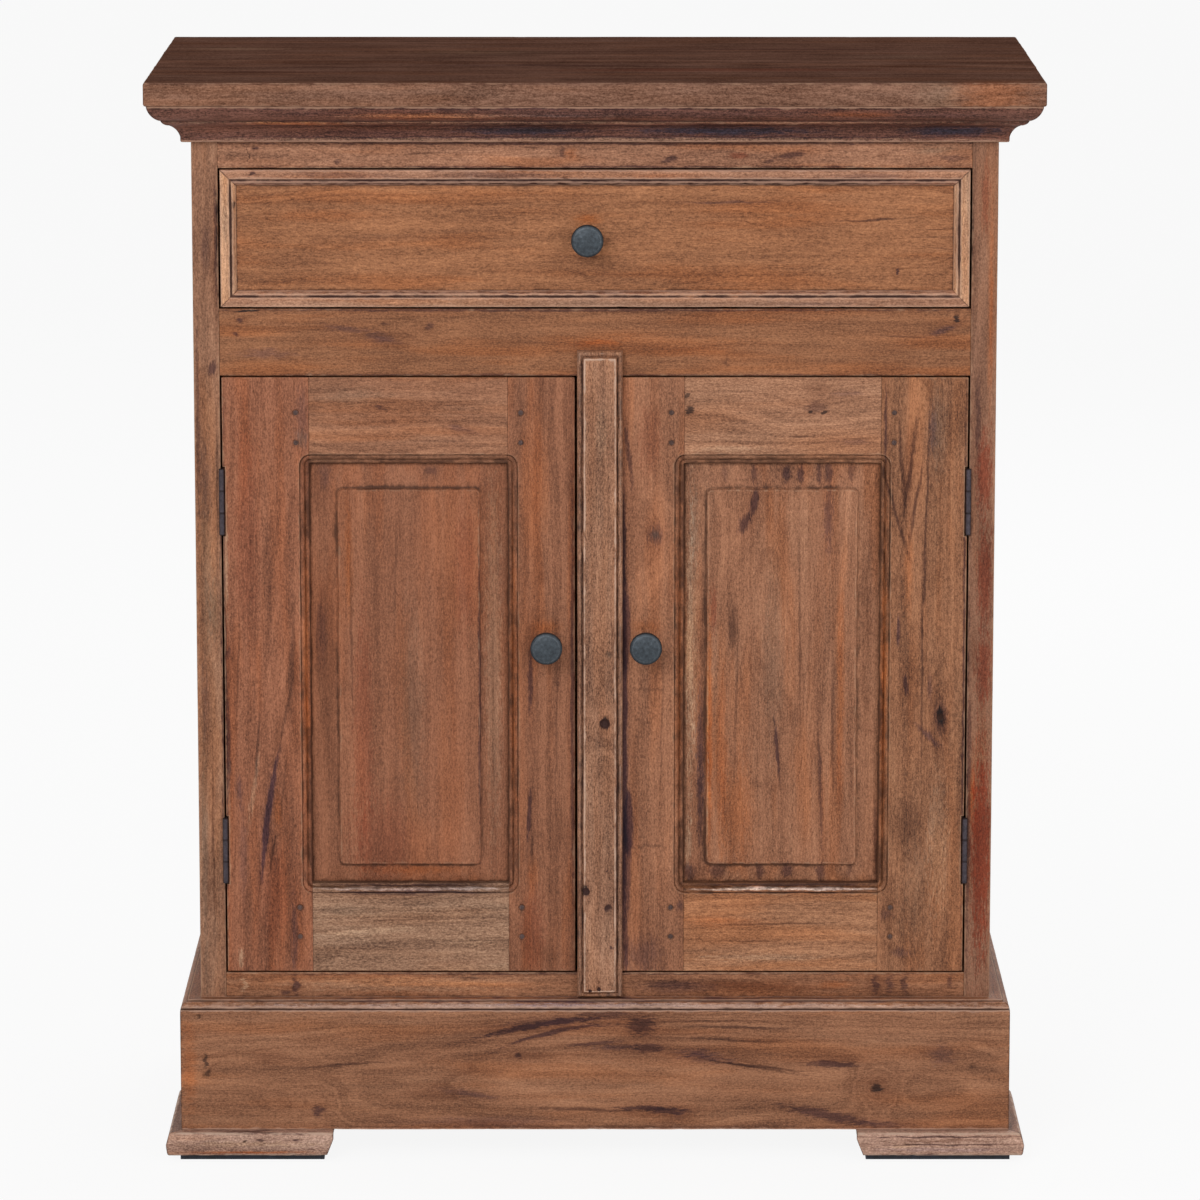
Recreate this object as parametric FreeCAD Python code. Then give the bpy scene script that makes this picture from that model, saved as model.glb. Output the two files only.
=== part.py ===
import FreeCAD, Part
import math
import os

# A free-standing storage cupboard: one drawer over a pair of panelled doors.
# X runs to the right seen from the front, Y to the back, Z up, in millimetres.
# The origin is on the floor, under the centre of the top board.

Vector = FreeCAD.Vector
overrun = 2.0
# Clearance on each side of a glued tenon, tongue or housing
glue_clearance = 0.1
# Where a quarter round passes halfway between its two ends
arc_share = math.sqrt(0.5)

# Body
body_width = 739.0
body_depth = 385.0
frame_thickness = 24.0
rail_tenon_length = 15.0
rail_tenon_thickness = 9.0
rail_tenon_shoulder = 8.0

# Top boards
top_thickness = 22.0
top_side_overhang = 40.5
top_front_overhang = 40.5
top_back_overhang = 4.5
top_edge_radius = 2.5
top_board_widths = (150.0, 136.0)

# Heights of the front, from the floor up
pad_thickness = 6.0
foot_height = 22.5
plinth_height = 124.0
bottom_rail_shown = 23.0
door_opening_height = 565.0
middle_rail_height = 62.0
drawer_opening_height = 130.0
top_rail_shown = 24.5

# Cornice moulding, from its top edge down
cornice_height = 36.0
cornice_projection = 38.0
cornice_lip = 1.2
cornice_ovolo_height = 13.0
cornice_ovolo_width = 11.0
cornice_step = 1.0
cornice_bead_height = 5.0
cornice_bead_width = 6.0
cornice_fillet_width = 1.2
cornice_cove_height = 11.4
cornice_cove_width = 9.8
cornice_curve_share = 0.62  # of width and height at mid-curve; 0.5 is straight

# Side frames
side_stile_width = 60.0
side_top_rail_height = 106.0
side_bottom_rail_height = 107.0
side_panel_recess = 6.0
side_panel_bevel = 24.0

# Plinth
plinth_projection = 18.5
plinth_ledge_quirk_in = 6.5
plinth_ledge_quirk_drop = 1.5
plinth_bead_height = 6.0
plinth_bead_drop = 1.2
plinth_quirk_height = 1.2
plinth_quirk_depth = 1.4

# Front and rear rails below the doors
bottom_rail_height = 70.0
rear_rail_thickness = 20.0
rear_rail_height = 60.0

# Back boards
back_board_thickness = 10.0
back_board_count = 5
back_rebate_width = 12.0
back_board_gap = 0.4

# Feet
foot_length = 157.0
foot_projection = 14.0
foot_depth = 60.0
foot_toe_radius = 3.0
foot_toe_in = 1.0
foot_slope_start = 11.0
foot_slope_in = 2.5
foot_top_radius = 2.5
foot_end_undercut = 6.0
foot_end_straight = 6.0
pad_inset = 13.0
pad_inner_inset = 9.0
pad_depth = 34.0
corner_block_size = 28.0

# Cupboard inside
floor_thickness = 16.0
batten_size = 20.0
floor_clearance = 0.3
shelf_thickness = 18.0
shelf_height_over_floor = 272.0
shelf_setback = 32.0
shelf_clearance = 1.0
shelf_pin_diameter = 6.0
shelf_pin_depth = 9.0
shelf_pin_length = 18.0
shelf_pin_seat = 0.1
shelf_pin_from_shelf_front = 13.0
shelf_pin_from_back = 30.0

# Door frames
door_thickness = 22.0
door_proud = 0.5
door_side_gap = 1.6
door_top_gap = 1.5
door_bottom_gap = 1.5
door_meeting_gap = 2.0
door_meeting_from_centre = -17.5
door_lock_bevel = 1.0
door_top_rail_height = 81.0
door_bottom_rail_height = 84.0
door_tenon_length = 45.0
door_tenon_thickness = 7.0
door_tenon_shoulder = 15.0
hinge_stile_width = 80.0
left_lock_stile_width = 62.0
right_lock_stile_width = 99.0

# Routed sticking round the inside of a door frame, out from the sight edge
stick_width = 9.0
stick_quirk_width = 0.8
stick_quirk_depth = 1.5
stick_bead_top = 0.7
stick_bead_width = 3.6
stick_bead_drop = 2.8
stick_step = 1.6
stick_lip_drop = 2.0
stick_sight_radius = 1.6
stick_sight_overrun = 1.0

# Door panels
panel_groove_depth = 9.0
panel_tongue_thickness = 6.0
panel_tongue_from_face = 10.5
panel_play = 1.0
panel_fit = 0.15
panel_bevel_rise = 6.0
panel_field_step = 1.4
panel_field_radius = 4.0
left_panel_side_bevel = 26.0
right_panel_side_bevel = 21.0
panel_top_bevel = 24.0
panel_bottom_bevel = 18.0

# Pegs through the door tenons
peg_diameter = 5.5
peg_hole_clearance = 0.05
peg_length = 16.0
peg_sink = 0.3
peg_from_sight = 21.0
peg_pitch = 28.0
peg_first = 33.0

# Cover strip on the right door
strip_width = 42.0
strip_lap_above = 24.0
strip_ledge_gap = 1.3
strip_base_thickness = 9.0
strip_base_radius = 3.0
strip_face_margin = 5.5
strip_face_rise = 4.5
strip_face_bevel = 1.5
strip_quirk_width = 1.5
strip_quirk_depth = 1.2

# Butt hinges
hinge_length = 62.0
hinge_end_distance = 85.0
hinge_leaf_width = 20.0
hinge_leaf_thickness = 1.6
hinge_leaf_parting = 0.2
hinge_knuckle_diameter = 5.0
hinge_knuckle_gap = 0.2
hinge_knuckle_count = 3
hinge_pin_diameter = 2.4
hinge_pin_clearance = 0.08
hinge_axis_from_door_face = 1.5
hinge_relief = 0.4
hinge_mortise_clearance = 0.1
hinge_relief_end = 1.0

# Knobs, turned about their own axis
knob_diameter = 30.0
knob_projection = 27.0
knob_base_diameter = 14.0
knob_base_thickness = 2.5
knob_neck_diameter = 9.0
knob_rim_thickness = 4.0
knob_dome_height = 3.0
knob_back_height = 7.0
knob_stud_diameter = 5.0
knob_stud_clearance = 0.1
knob_nut_diameter = 11.0
knob_nut_thickness = 4.0
door_knob_height = 312.0
left_knob_from_lock_edge = 26.5
right_knob_from_lock_edge = 63.5
drawer_knob_from_centre = -7.0

# Drawer
drawer_side_gap = 1.6
drawer_top_gap = 1.5
drawer_bottom_gap = 1.5
drawer_front_thickness = 16.0
drawer_space_behind = 30.0
drawer_side_thickness = 12.0
drawer_side_height = 122.0
drawer_side_clearance = 3.0
drawer_running_gap = 0.3
drawer_bottom_thickness = 6.0
drawer_bottom_height = 10.0
drawer_groove_depth = 6.0
drawer_lap = 8.0

# Applied moulding round the drawer front
mould_width = 15.0
mould_thickness = 6.0
mould_band_width = 9.5
mould_quirk_width = 1.0
mould_quirk_depth = 2.0
mould_bead_drop = 1.5

# Drawer runners, kickers and stops
runner_width = 24.0
runner_height = 24.0
kicker_width = 20.0
kicker_height = 20.0
stop_height = 20.0
stop_seat = 0.3

# Door stops
door_stop_length = 60.0
door_stop_thickness = 12.0
door_stop_drop = 18.0
door_stop_seat = 0.3
door_stop_setback = 90.0

# Places worked out from the sizes above
half_body = body_width / 2
half_opening = half_body - frame_thickness
top_depth = body_depth + top_front_overhang + top_back_overhang
face_y = top_front_overhang - top_depth / 2
rear_y = face_y + body_depth
back_boards_y = rear_y - back_board_thickness
rail_back_y = face_y + frame_thickness
door_face_y = face_y - door_proud
door_back_y = door_face_y + door_thickness
plinth_z = pad_thickness + foot_height
ledge_z = plinth_z + plinth_height
cupboard_z = ledge_z + bottom_rail_shown
middle_rail_z = cupboard_z + door_opening_height
drawer_z = middle_rail_z + middle_rail_height
top_rail_z = drawer_z + drawer_opening_height
top_z = top_rail_z + top_rail_shown + cornice_height
total_height = top_z + top_thickness
door_z = cupboard_z + door_bottom_gap
door_top_z = middle_rail_z - door_top_gap
meeting_left = door_meeting_from_centre - door_meeting_gap / 2
meeting_right = door_meeting_from_centre + door_meeting_gap / 2
hinge_edge = half_opening - door_side_gap
hinge_axis_x = half_opening - door_side_gap / 2
hinge_axis_y = door_face_y - hinge_axis_from_door_face
lower_hinge_z = door_z + hinge_end_distance
upper_hinge_z = door_top_z - hinge_end_distance - hinge_length
reach = body_width + top_depth + total_height


def block(x0, x1, y0, y1, z0, z1):
    """A box between two corners."""
    return Part.makeBox(x1 - x0, y1 - y0, z1 - z0, Vector(x0, y0, z0))


def rod(start, axis, radius, length):
    """A cylinder from a start point along an axis."""
    return Part.makeCylinder(radius, length, start, axis)


def mirrored(shape):
    """The same piece on the other side of the cupboard."""
    return shape.mirror(Vector(0, 0, 0), Vector(1, 0, 0))


def cut_all(shape, tools):
    """The shape less every tool."""
    for tool in tools:
        shape = shape.cut(tool)
    return shape


def fused(shapes):
    """One solid from touching or overlapping shapes."""
    whole = shapes[0].fuse(shapes[1:])
    return whole.removeSplitter()


def beyond(point, normal):
    """A large block that fills the space beyond a plane."""
    side = Part.makeBox(2 * reach, 2 * reach, 2 * reach, Vector(-reach, -reach, 0))
    turn = FreeCAD.Rotation(Vector(0, 0, 1), normal)
    side.Placement = FreeCAD.Placement(point, turn)
    return side


def section_face(points):
    """A flat face inside an outline.

    Each entry is a point, or a pair (middle, end) for an arc through middle.
    """
    edges = []
    last = points[0]
    for entry in points[1:] + [points[0]]:
        if isinstance(entry, tuple):
            edges.append(Part.Arc(last, entry[0], entry[1]).toShape())
            last = entry[1]
        else:
            edges.append(Part.makeLine(last, entry))
            last = entry
    return Part.Face(Part.Wire(edges))


def prism(points, travel):
    """A solid from an outline carried along a straight line."""
    return section_face(points).extrude(travel)


def rail(x0, x1, y0, y1, z0, z1, length, thickness, shoulder, clearance):
    """A rail along X with a tenon on each end, or its mortise cutter."""
    body = block(x0, x1, y0, y1, z0, z1)
    middle = (y0 + y1) / 2
    tongue = block(x0 - length - clearance, x1 + length + clearance,
                   middle - thickness / 2 - clearance, middle + thickness / 2 + clearance,
                   z0 + shoulder - clearance, z1 - shoulder + clearance)
    return body, tongue


def frame_rail(y0, y1, z0, z1):
    """A rail between the side frames, and the cutter for its two mortises."""
    sizes = (rail_tenon_length, rail_tenon_thickness, rail_tenon_shoulder)
    body, tenon = rail(-half_opening, half_opening, y0, y1, z0, z1, *sizes, 0)
    mortise = rail(-half_opening, half_opening, y0, y1, z0, z1, *sizes, glue_clearance)[1]
    return fused([body, tenon]), mortise


# Top and cornice

def top_boards():
    """Boards edge to edge, with eased outer edges."""
    half = body_width / 2 + top_side_overhang
    slab = block(-half, half, -top_depth / 2, top_depth / 2, top_z, total_height)
    outer = [edge for edge in slab.Edges
             if abs(edge.BoundBox.ZMin - edge.BoundBox.ZMax) < overrun]
    slab = slab.makeFillet(top_edge_radius, outer)
    first = -top_depth / 2 + top_board_widths[0]
    second = first + top_board_widths[1]
    ends = (-top_depth, first, second, top_depth)
    boards = []
    for y0, y1 in zip(ends, ends[1:]):
        boards.append(slab.common(block(-reach, reach, y0, y1, 0, total_height + overrun)))
    return boards


def cornice_outline(at):
    """The cornice section; at(out, down) gives the point in space."""
    x1 = cornice_projection
    z1 = cornice_lip
    ovolo_x = x1 - cornice_ovolo_width
    ovolo_z = z1 + cornice_ovolo_height
    bead_x = ovolo_x - cornice_step
    bead_z = ovolo_z + cornice_bead_height
    foot_x = bead_x - cornice_bead_width
    cove_x = foot_x - cornice_fillet_width
    cove_z = bead_z + cornice_cove_height
    base_x = cove_x - cornice_cove_width
    share = cornice_curve_share
    ovolo_mid = (ovolo_x + cornice_ovolo_width * share, z1 + cornice_ovolo_height * share)
    bead_mid = (foot_x + cornice_bead_width * share, ovolo_z + cornice_bead_height * share)
    cove_mid = (cove_x - cornice_cove_width * share,
                bead_z + cornice_cove_height * (1 - share))
    return [at(0, 0), at(x1, 0), at(x1, z1),
            (at(*ovolo_mid), at(ovolo_x, ovolo_z)),
            at(bead_x, ovolo_z),
            (at(*bead_mid), at(foot_x, bead_z)),
            at(cove_x, bead_z),
            (at(*cove_mid), at(base_x, cove_z)),
            at(base_x, cornice_height), at(0, cornice_height)]


def mitred_front(outline_of, end_height):
    """A front run round both corners of the body, cut at 45 degrees."""
    start = Vector(-reach / 2, 0, 0)

    def at(out, down):
        return start + Vector(0, face_y - out, end_height - down)

    run = prism(outline_of(at), Vector(reach, 0, 0))
    right = beyond(Vector(half_body, face_y, 0), Vector(1, 1, 0))
    left = beyond(Vector(-half_body, face_y, 0), Vector(-1, 1, 0))
    return cut_all(run, [right, left])


def mitred_right(outline_of, end_height):
    """The right-hand run, mitred in front and square at the back."""
    start = Vector(0, rear_y, 0)

    def at(out, down):
        return start + Vector(half_body + out, 0, end_height - down)

    run = prism(outline_of(at), Vector(0, -reach, 0))
    return run.cut(beyond(Vector(half_body, face_y, 0), Vector(-1, -1, 0)))


# Plinth

def plinth_outline(at):
    """The plinth board's section with its beaded top edge."""
    out = plinth_projection
    quirk_out = out - plinth_ledge_quirk_in
    bead_top = plinth_ledge_quirk_drop
    bead_low = bead_top + plinth_bead_height
    bead_out = out - plinth_bead_drop / 2
    bead_mid = (quirk_out + (bead_out - quirk_out) * arc_share,
                bead_low - plinth_bead_height * arc_share)
    quirk_low = bead_low + plinth_quirk_height
    return [at(0, 0), at(quirk_out, 0), at(quirk_out, bead_top),
            (at(*bead_mid), at(bead_out, bead_low)),
            at(bead_out - plinth_quirk_depth, bead_low),
            at(bead_out - plinth_quirk_depth, quirk_low),
            at(out, quirk_low), at(out, plinth_height), at(0, plinth_height)]


# Feet

def foot_outline(at):
    """Section of a foot board; out is measured from the plinth, down from its top."""
    face = foot_projection
    slope_top = foot_height - foot_slope_start
    upper = face - foot_slope_in
    top_mid = (upper - foot_top_radius * (1 - arc_share), foot_top_radius * (1 - arc_share))
    low = foot_height - foot_toe_radius
    toe = face - foot_toe_in
    toe_mid = (toe - foot_toe_radius * (1 - arc_share), low + foot_toe_radius * arc_share)
    return [at(face - foot_depth, 0), at(upper - foot_top_radius, 0),
            (at(*top_mid), at(upper, foot_top_radius)),
            at(face, slope_top), at(toe, low),
            (at(*toe_mid), at(toe - foot_toe_radius, foot_height)),
            at(face - foot_depth, foot_height)]


def foot_end_wedge(at):
    """Cutter for the undercut inner end of a foot; at(in, down) places it."""
    return [at(-overrun, foot_end_straight), at(0, foot_end_straight),
            at(foot_end_undercut, foot_height), at(foot_end_undercut, foot_height + overrun),
            at(-overrun, foot_height + overrun)]


def right_front_foot():
    """Two boards mitred at the outer corner."""
    corner_x = half_body + plinth_projection
    corner_y = face_y - plinth_projection
    inner_x = corner_x + foot_projection - foot_length
    inner_y = corner_y - foot_projection + foot_length

    def front_at(out, down):
        return Vector(inner_x, corner_y - out, plinth_z - down)

    def side_at(out, down):
        return Vector(corner_x + out, inner_y, plinth_z - down)

    front = prism(foot_outline(front_at), Vector(foot_length, 0, 0))
    side = prism(foot_outline(side_at), Vector(0, -foot_length, 0))
    corner = Vector(corner_x, corner_y, plinth_z)
    front = front.cut(beyond(corner, Vector(1, 1, 0)))
    side = side.cut(beyond(corner, Vector(-1, -1, 0)))

    def front_end(inward, down):
        return Vector(inner_x + inward, corner_y - foot_depth, plinth_z - down)

    def side_end(inward, down):
        return Vector(corner_x - foot_depth, inner_y - inward, plinth_z - down)

    front = front.cut(prism(foot_end_wedge(front_end), Vector(0, 2 * foot_depth, 0)))
    side = side.cut(prism(foot_end_wedge(side_end), Vector(2 * foot_depth, 0, 0)))
    return [front, side]


def right_rear_foot():
    """A side board and a plain cross block, flush with the back."""
    corner_x = half_body + plinth_projection
    inner_y = rear_y - foot_length

    def side_at(out, down):
        return Vector(corner_x + out, inner_y, plinth_z - down)

    def side_end(inward, down):
        return Vector(corner_x - foot_depth, inner_y + inward, plinth_z - down)

    side = prism(foot_outline(side_at), Vector(0, foot_length, 0))
    side = side.cut(prism(foot_end_wedge(side_end), Vector(2 * foot_depth, 0, 0)))
    inner_x = corner_x + foot_projection - foot_depth
    cross = block(corner_x + foot_projection - foot_length, inner_x,
                  rear_y - foot_depth, rear_y, pad_thickness, plinth_z)
    return [side, cross]


def right_foot_pads():
    """Flat pads set in from the faces of the right-hand feet."""
    outer_x = half_body + plinth_projection + foot_projection - pad_inset
    inner_x = outer_x + pad_inset - foot_length + pad_inner_inset
    front_y = face_y - plinth_projection - foot_projection + pad_inset
    front_end_y = front_y - pad_inset + foot_length - pad_inner_inset
    back_y = rear_y - pad_inset
    back_end_y = rear_y - foot_length + pad_inner_inset
    return [block(inner_x, outer_x, front_y, front_y + pad_depth, 0, pad_thickness),
            block(outer_x - pad_depth, outer_x, front_y + pad_depth, front_end_y,
                  0, pad_thickness),
            block(inner_x, outer_x, back_y - pad_depth, back_y, 0, pad_thickness),
            block(outer_x - pad_depth, outer_x, back_end_y, back_y - pad_depth,
                  0, pad_thickness)]


def corner_blocks():
    """Glue blocks in the four corners of the plinth, standing on the feet."""
    inner = half_opening - corner_block_size
    front_top = cupboard_z - floor_thickness - batten_size
    boxes = []
    for y0 in (rail_back_y, back_boards_y - rear_rail_thickness - corner_block_size):
        right = block(inner, half_opening, y0, y0 + corner_block_size, plinth_z, front_top)
        boxes += [right, mirrored(right)]
    return boxes


# Raised panels and panelled frames

def rounded_field(x0, x1, z0, z1, y0, y1, radius):
    """An upright slab with rounded corners between two depths."""
    slab = block(x0, x1, y0, y1, z0, z1)
    corners = [edge for edge in slab.Edges
               if edge.BoundBox.YLength > max(edge.BoundBox.XLength, edge.BoundBox.ZLength)]
    return slab.makeFillet(radius, corners)


def rectangle(x0, x1, z0, z1, y):
    """A closed upright rectangle of edges."""
    corners = [Vector(x0, y, z0), Vector(x1, y, z0), Vector(x1, y, z1), Vector(x0, y, z1)]
    return Part.makePolygon(corners + corners[:1])


def raised_panel(sight, side_bevel, top_bevel, bottom_bevel, tongue_front):
    """A tongue all round, sloping bevels and a stepped flat field.

    sight holds x0, x1, z0, z1 of the opening that the panel fills.
    """
    x0, x1, z0, z1 = sight
    grip = panel_groove_depth - panel_play
    tongue = block(x0 - grip, x1 + grip, tongue_front, tongue_front + panel_tongue_thickness,
                   z0 - grip, z1 + grip)
    bevel_top = tongue_front - panel_bevel_rise
    low = rectangle(x0 + panel_play, x1 - panel_play, z0 + panel_play, z1 - panel_play,
                    tongue_front)
    high = rectangle(x0 + side_bevel, x1 - side_bevel, z0 + bottom_bevel, z1 - top_bevel,
                     bevel_top)
    bevels = Part.makeLoft([low, high], True, True)
    field = rounded_field(x0 + side_bevel, x1 - side_bevel, z0 + bottom_bevel,
                          z1 - top_bevel, bevel_top - panel_field_step, tongue_front,
                          panel_field_radius)
    return fused([tongue, bevels, field])


def stick_cutter(x0, x1, z0, z1, face):
    """What the router takes off round a sight opening, with rounded corners."""
    inner = stick_sight_radius
    quirk_in = stick_width - stick_quirk_width
    bead_in = quirk_in - stick_bead_width
    bead_low = stick_bead_top + stick_bead_drop
    lip_top = bead_low + stick_step - stick_lip_drop / 2
    lip_low = lip_top + stick_lip_drop
    bead_mid = (bead_in + stick_bead_width * (1 - arc_share),
                stick_bead_top + stick_bead_drop * (1 - arc_share))
    lip_mid = ((bead_in - stick_step) * (1 - arc_share), lip_top + stick_lip_drop * (1 - arc_share))

    def at(out, deep):
        return Vector(x1 + out, face + deep, (z0 + z1) / 2)

    outline = [at(-stick_sight_overrun, -overrun), at(stick_width, -overrun),
               at(stick_width, stick_quirk_depth), at(quirk_in, stick_quirk_depth),
               at(quirk_in, stick_bead_top),
               (at(*bead_mid), at(bead_in, bead_low)),
               at(bead_in, bead_low + stick_step), at(bead_in - stick_step, lip_top),
               (at(*lip_mid), at(0, lip_low)), at(-stick_sight_overrun, lip_low)]
    section = section_face(outline)
    pieces = []
    middle = Vector((x0 + x1) / 2, face, (z0 + z1) / 2)
    sides = ((0, x1 - middle.x, z1 - z0), (90, z1 - middle.z, x1 - x0),
             (180, middle.x - x0, z1 - z0), (270, middle.z - z0, x1 - x0))
    for angle, out, length in sides:
        straight = length - 2 * inner
        profile = section.copy()
        profile.translate(Vector(middle.x + out - x1, 0, straight / 2))
        run = profile.extrude(Vector(0, 0, -straight))
        turn = profile.copy()
        axis = Vector(middle.x + out - inner, face, middle.z + straight / 2)
        corner = turn.revolve(axis, Vector(0, -1, 0), 90)
        for piece in (run, corner):
            piece.rotate(middle, Vector(0, -1, 0), angle)
            pieces.append(piece)
    return pieces


# Doors

def knob(centre_x, centre_z, seat_y, through):
    """An iron knob with its stud, and the nut behind the board."""
    front = seat_y - knob_projection
    rim_front = front + knob_dome_height
    rim_back = rim_front + knob_rim_thickness
    neck_front = rim_back + knob_back_height
    base_front = seat_y - knob_base_thickness
    end = seat_y + through + knob_nut_thickness + overrun
    radius = knob_diameter / 2
    neck = knob_neck_diameter / 2
    base = knob_base_diameter / 2
    stud = knob_stud_diameter / 2

    def at(out, y):
        return Vector(centre_x + out, y, centre_z)

    dome_mid = (radius * arc_share, front + knob_dome_height * (1 - arc_share))
    back_mid = (neck + (radius - neck) * (1 - arc_share), neck_front - knob_back_height * arc_share)
    outline = [at(0, front),
               (at(*dome_mid), at(radius, rim_front)),
               at(radius, rim_back),
               (at(*back_mid), at(neck, neck_front)),
               at(neck, base_front), at(base, base_front), at(base, seat_y),
               at(stud, seat_y), at(stud, end), at(0, end)]
    turned = section_face(outline).revolve(Vector(centre_x, 0, centre_z), Vector(0, 1, 0), 360)
    nut_start = Vector(centre_x, seat_y + through, centre_z)
    nut = rod(nut_start, Vector(0, 1, 0), knob_nut_diameter / 2, knob_nut_thickness)
    bore = rod(nut_start - Vector(0, overrun, 0), Vector(0, 1, 0),
               stud + knob_stud_clearance, knob_nut_thickness + 2 * overrun)
    return [turned, nut.cut(bore)]


def knob_hole(centre_x, centre_z, seat_y, through):
    """The hole that a knob's stud passes through."""
    start = Vector(centre_x, seat_y - overrun, centre_z)
    radius = knob_stud_diameter / 2 + knob_stud_clearance
    return rod(start, Vector(0, 1, 0), radius, through + 2 * overrun)


def hinge_relief_tools(axis_x):
    """Room for the knuckles of both hinges of a door."""
    tools = []
    for z0 in (lower_hinge_z, upper_hinge_z):
        start = Vector(axis_x, hinge_axis_y, z0 - hinge_relief_end)
        radius = hinge_knuckle_diameter / 2 + hinge_relief
        tools.append(rod(start, Vector(0, 0, 1), radius, hinge_length + 2 * hinge_relief_end))
    return tools


def leaf_box(axis_x, side, z0, margin):
    """The plate of a leaf on one side of the axis; side is 1 to the right."""
    near = axis_x + side * hinge_leaf_parting
    far = axis_x + side * (hinge_leaf_parting + hinge_leaf_thickness)
    x0, x1 = min(near, far), max(near, far)
    return block(x0 - margin, x1 + margin, hinge_axis_y,
                 hinge_axis_y + hinge_leaf_width + margin,
                 z0 - margin, z0 + hinge_length + margin)


def leaf_mortises(axis_x, side):
    """The recesses that both leaves of one side lie in."""
    return [leaf_box(axis_x, side, z0, hinge_mortise_clearance)
            for z0 in (lower_hinge_z, upper_hinge_z)]


def hinge_leaf(axis_x, side, z0, own_knuckles):
    """A leaf with its own knuckles, bored for the pin."""
    step = hinge_length / hinge_knuckle_count
    radius = hinge_knuckle_diameter / 2
    room = rod(Vector(axis_x, hinge_axis_y, z0 - overrun), Vector(0, 0, 1),
               radius + hinge_knuckle_gap, hinge_length + 2 * overrun)
    shape = leaf_box(axis_x, side, z0, 0).cut(room)
    for index in own_knuckles:
        low = z0 + index * step + hinge_knuckle_gap / 2
        high = z0 + (index + 1) * step - hinge_knuckle_gap / 2
        barrel = rod(Vector(axis_x, hinge_axis_y, low), Vector(0, 0, 1), radius, high - low)
        web = leaf_box(axis_x, side, z0, 0).common(
            block(-reach, reach, hinge_axis_y, hinge_axis_y + hinge_knuckle_diameter,
                  low, high))
        shape = shape.fuse([barrel, web])
    bore = rod(Vector(axis_x, hinge_axis_y, z0 - overrun), Vector(0, 0, 1),
               hinge_pin_diameter / 2 + hinge_pin_clearance, hinge_length + 2 * overrun)
    return shape.cut(bore).removeSplitter()


def hinge_set(axis_x, side, own_knuckles):
    """The lower and upper leaves on one side of a door's gap."""
    return [hinge_leaf(axis_x, side, z0, own_knuckles)
            for z0 in (lower_hinge_z, upper_hinge_z)]


def door(left_edge, right_edge, left_stile, right_stile, side_bevel, hinge_on_left, knob_x):
    """The pieces of one door, by short name."""
    sight = (left_edge + left_stile, right_edge - right_stile,
             door_z + door_bottom_rail_height, door_top_z - door_top_rail_height)
    x0, x1, z0, z1 = sight
    groove_front = door_face_y + panel_tongue_from_face
    groove_back = groove_front + panel_tongue_thickness
    groove = block(x0 - panel_groove_depth, x1 + panel_groove_depth,
                   groove_front - panel_fit, groove_back + panel_fit,
                   z0 - panel_groove_depth, z1 + panel_groove_depth)
    tenon = (door_tenon_length, door_tenon_thickness, door_tenon_shoulder)
    lower = rail(x0, x1, door_face_y, door_back_y, door_z, z0, *tenon, 0)
    upper = rail(x0, x1, door_face_y, door_back_y, z1, door_top_z, *tenon, 0)
    rails = {"bottom_rail": fused(list(lower)), "top_rail": fused(list(upper))}
    mortises = [
        rail(x0, x1, door_face_y, door_back_y, door_z, z0, *tenon, glue_clearance)[1],
        rail(x0, x1, door_face_y, door_back_y, z1, door_top_z, *tenon, glue_clearance)[1]]
    stiles = {
        "left": block(left_edge, x0, door_face_y, door_back_y, door_z, door_top_z),
        "right": block(x1, right_edge, door_face_y, door_back_y, door_z, door_top_z)}
    hinge_side = "left" if hinge_on_left else "right"
    lock_side = "right" if hinge_on_left else "left"
    outward = 1 if hinge_on_left else -1
    lock_edge = right_edge if hinge_on_left else left_edge
    bevel = prism([Vector(lock_edge - outward * door_lock_bevel, door_back_y, door_z - overrun),
                   Vector(lock_edge, door_face_y, door_z - overrun),
                   Vector(lock_edge + outward * overrun, door_face_y, door_z - overrun),
                   Vector(lock_edge + outward * overrun, door_back_y, door_z - overrun)],
                  Vector(0, 0, door_top_z - door_z + 2 * overrun))
    axis_x = -hinge_axis_x if hinge_on_left else hinge_axis_x
    side = 1 if hinge_on_left else -1
    routing = stick_cutter(x0, x1, z0, z1, door_face_y)
    peg_x = (x0 - peg_from_sight + stick_width, x1 + peg_from_sight - stick_width)
    peg_z = (door_z + peg_first, door_z + peg_first + peg_pitch,
             door_top_z - peg_first - peg_pitch, door_top_z - peg_first)
    pegs = []
    peg_holes = []
    for x in peg_x:
        for z in peg_z:
            start = Vector(x, door_face_y + peg_sink, z)
            pegs.append(rod(start, Vector(0, 1, 0), peg_diameter / 2, peg_length))
            peg_holes.append(rod(Vector(x, door_face_y - overrun, z), Vector(0, 1, 0),
                                 peg_diameter / 2 + peg_hole_clearance,
                                 peg_length + peg_sink + overrun))
    knob_z = door_z + door_knob_height
    tools = [groove] + routing + peg_holes
    stiles = {key: cut_all(shape, tools + mortises) for key, shape in stiles.items()}
    rails = {key: cut_all(shape, tools) for key, shape in rails.items()}
    hinge_tools = hinge_relief_tools(axis_x) + leaf_mortises(axis_x, side)
    hinge_stile = cut_all(stiles[hinge_side], hinge_tools)
    lock_stile = cut_all(stiles[lock_side],
                         [bevel, knob_hole(knob_x, knob_z, door_face_y, door_thickness)])
    panel = raised_panel(sight, side_bevel, panel_top_bevel, panel_bottom_bevel,
                         groove_front)
    pieces = {"hinge_stile": [hinge_stile], "lock_stile": [lock_stile],
              "top_rail": [rails["top_rail"]], "bottom_rail": [rails["bottom_rail"]],
              "panel": [panel], "pegs": pegs,
              "knob": knob(knob_x, knob_z, door_face_y, door_thickness),
              "hinge_leaves": hinge_set(axis_x, side, (1,))}
    return pieces


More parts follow.
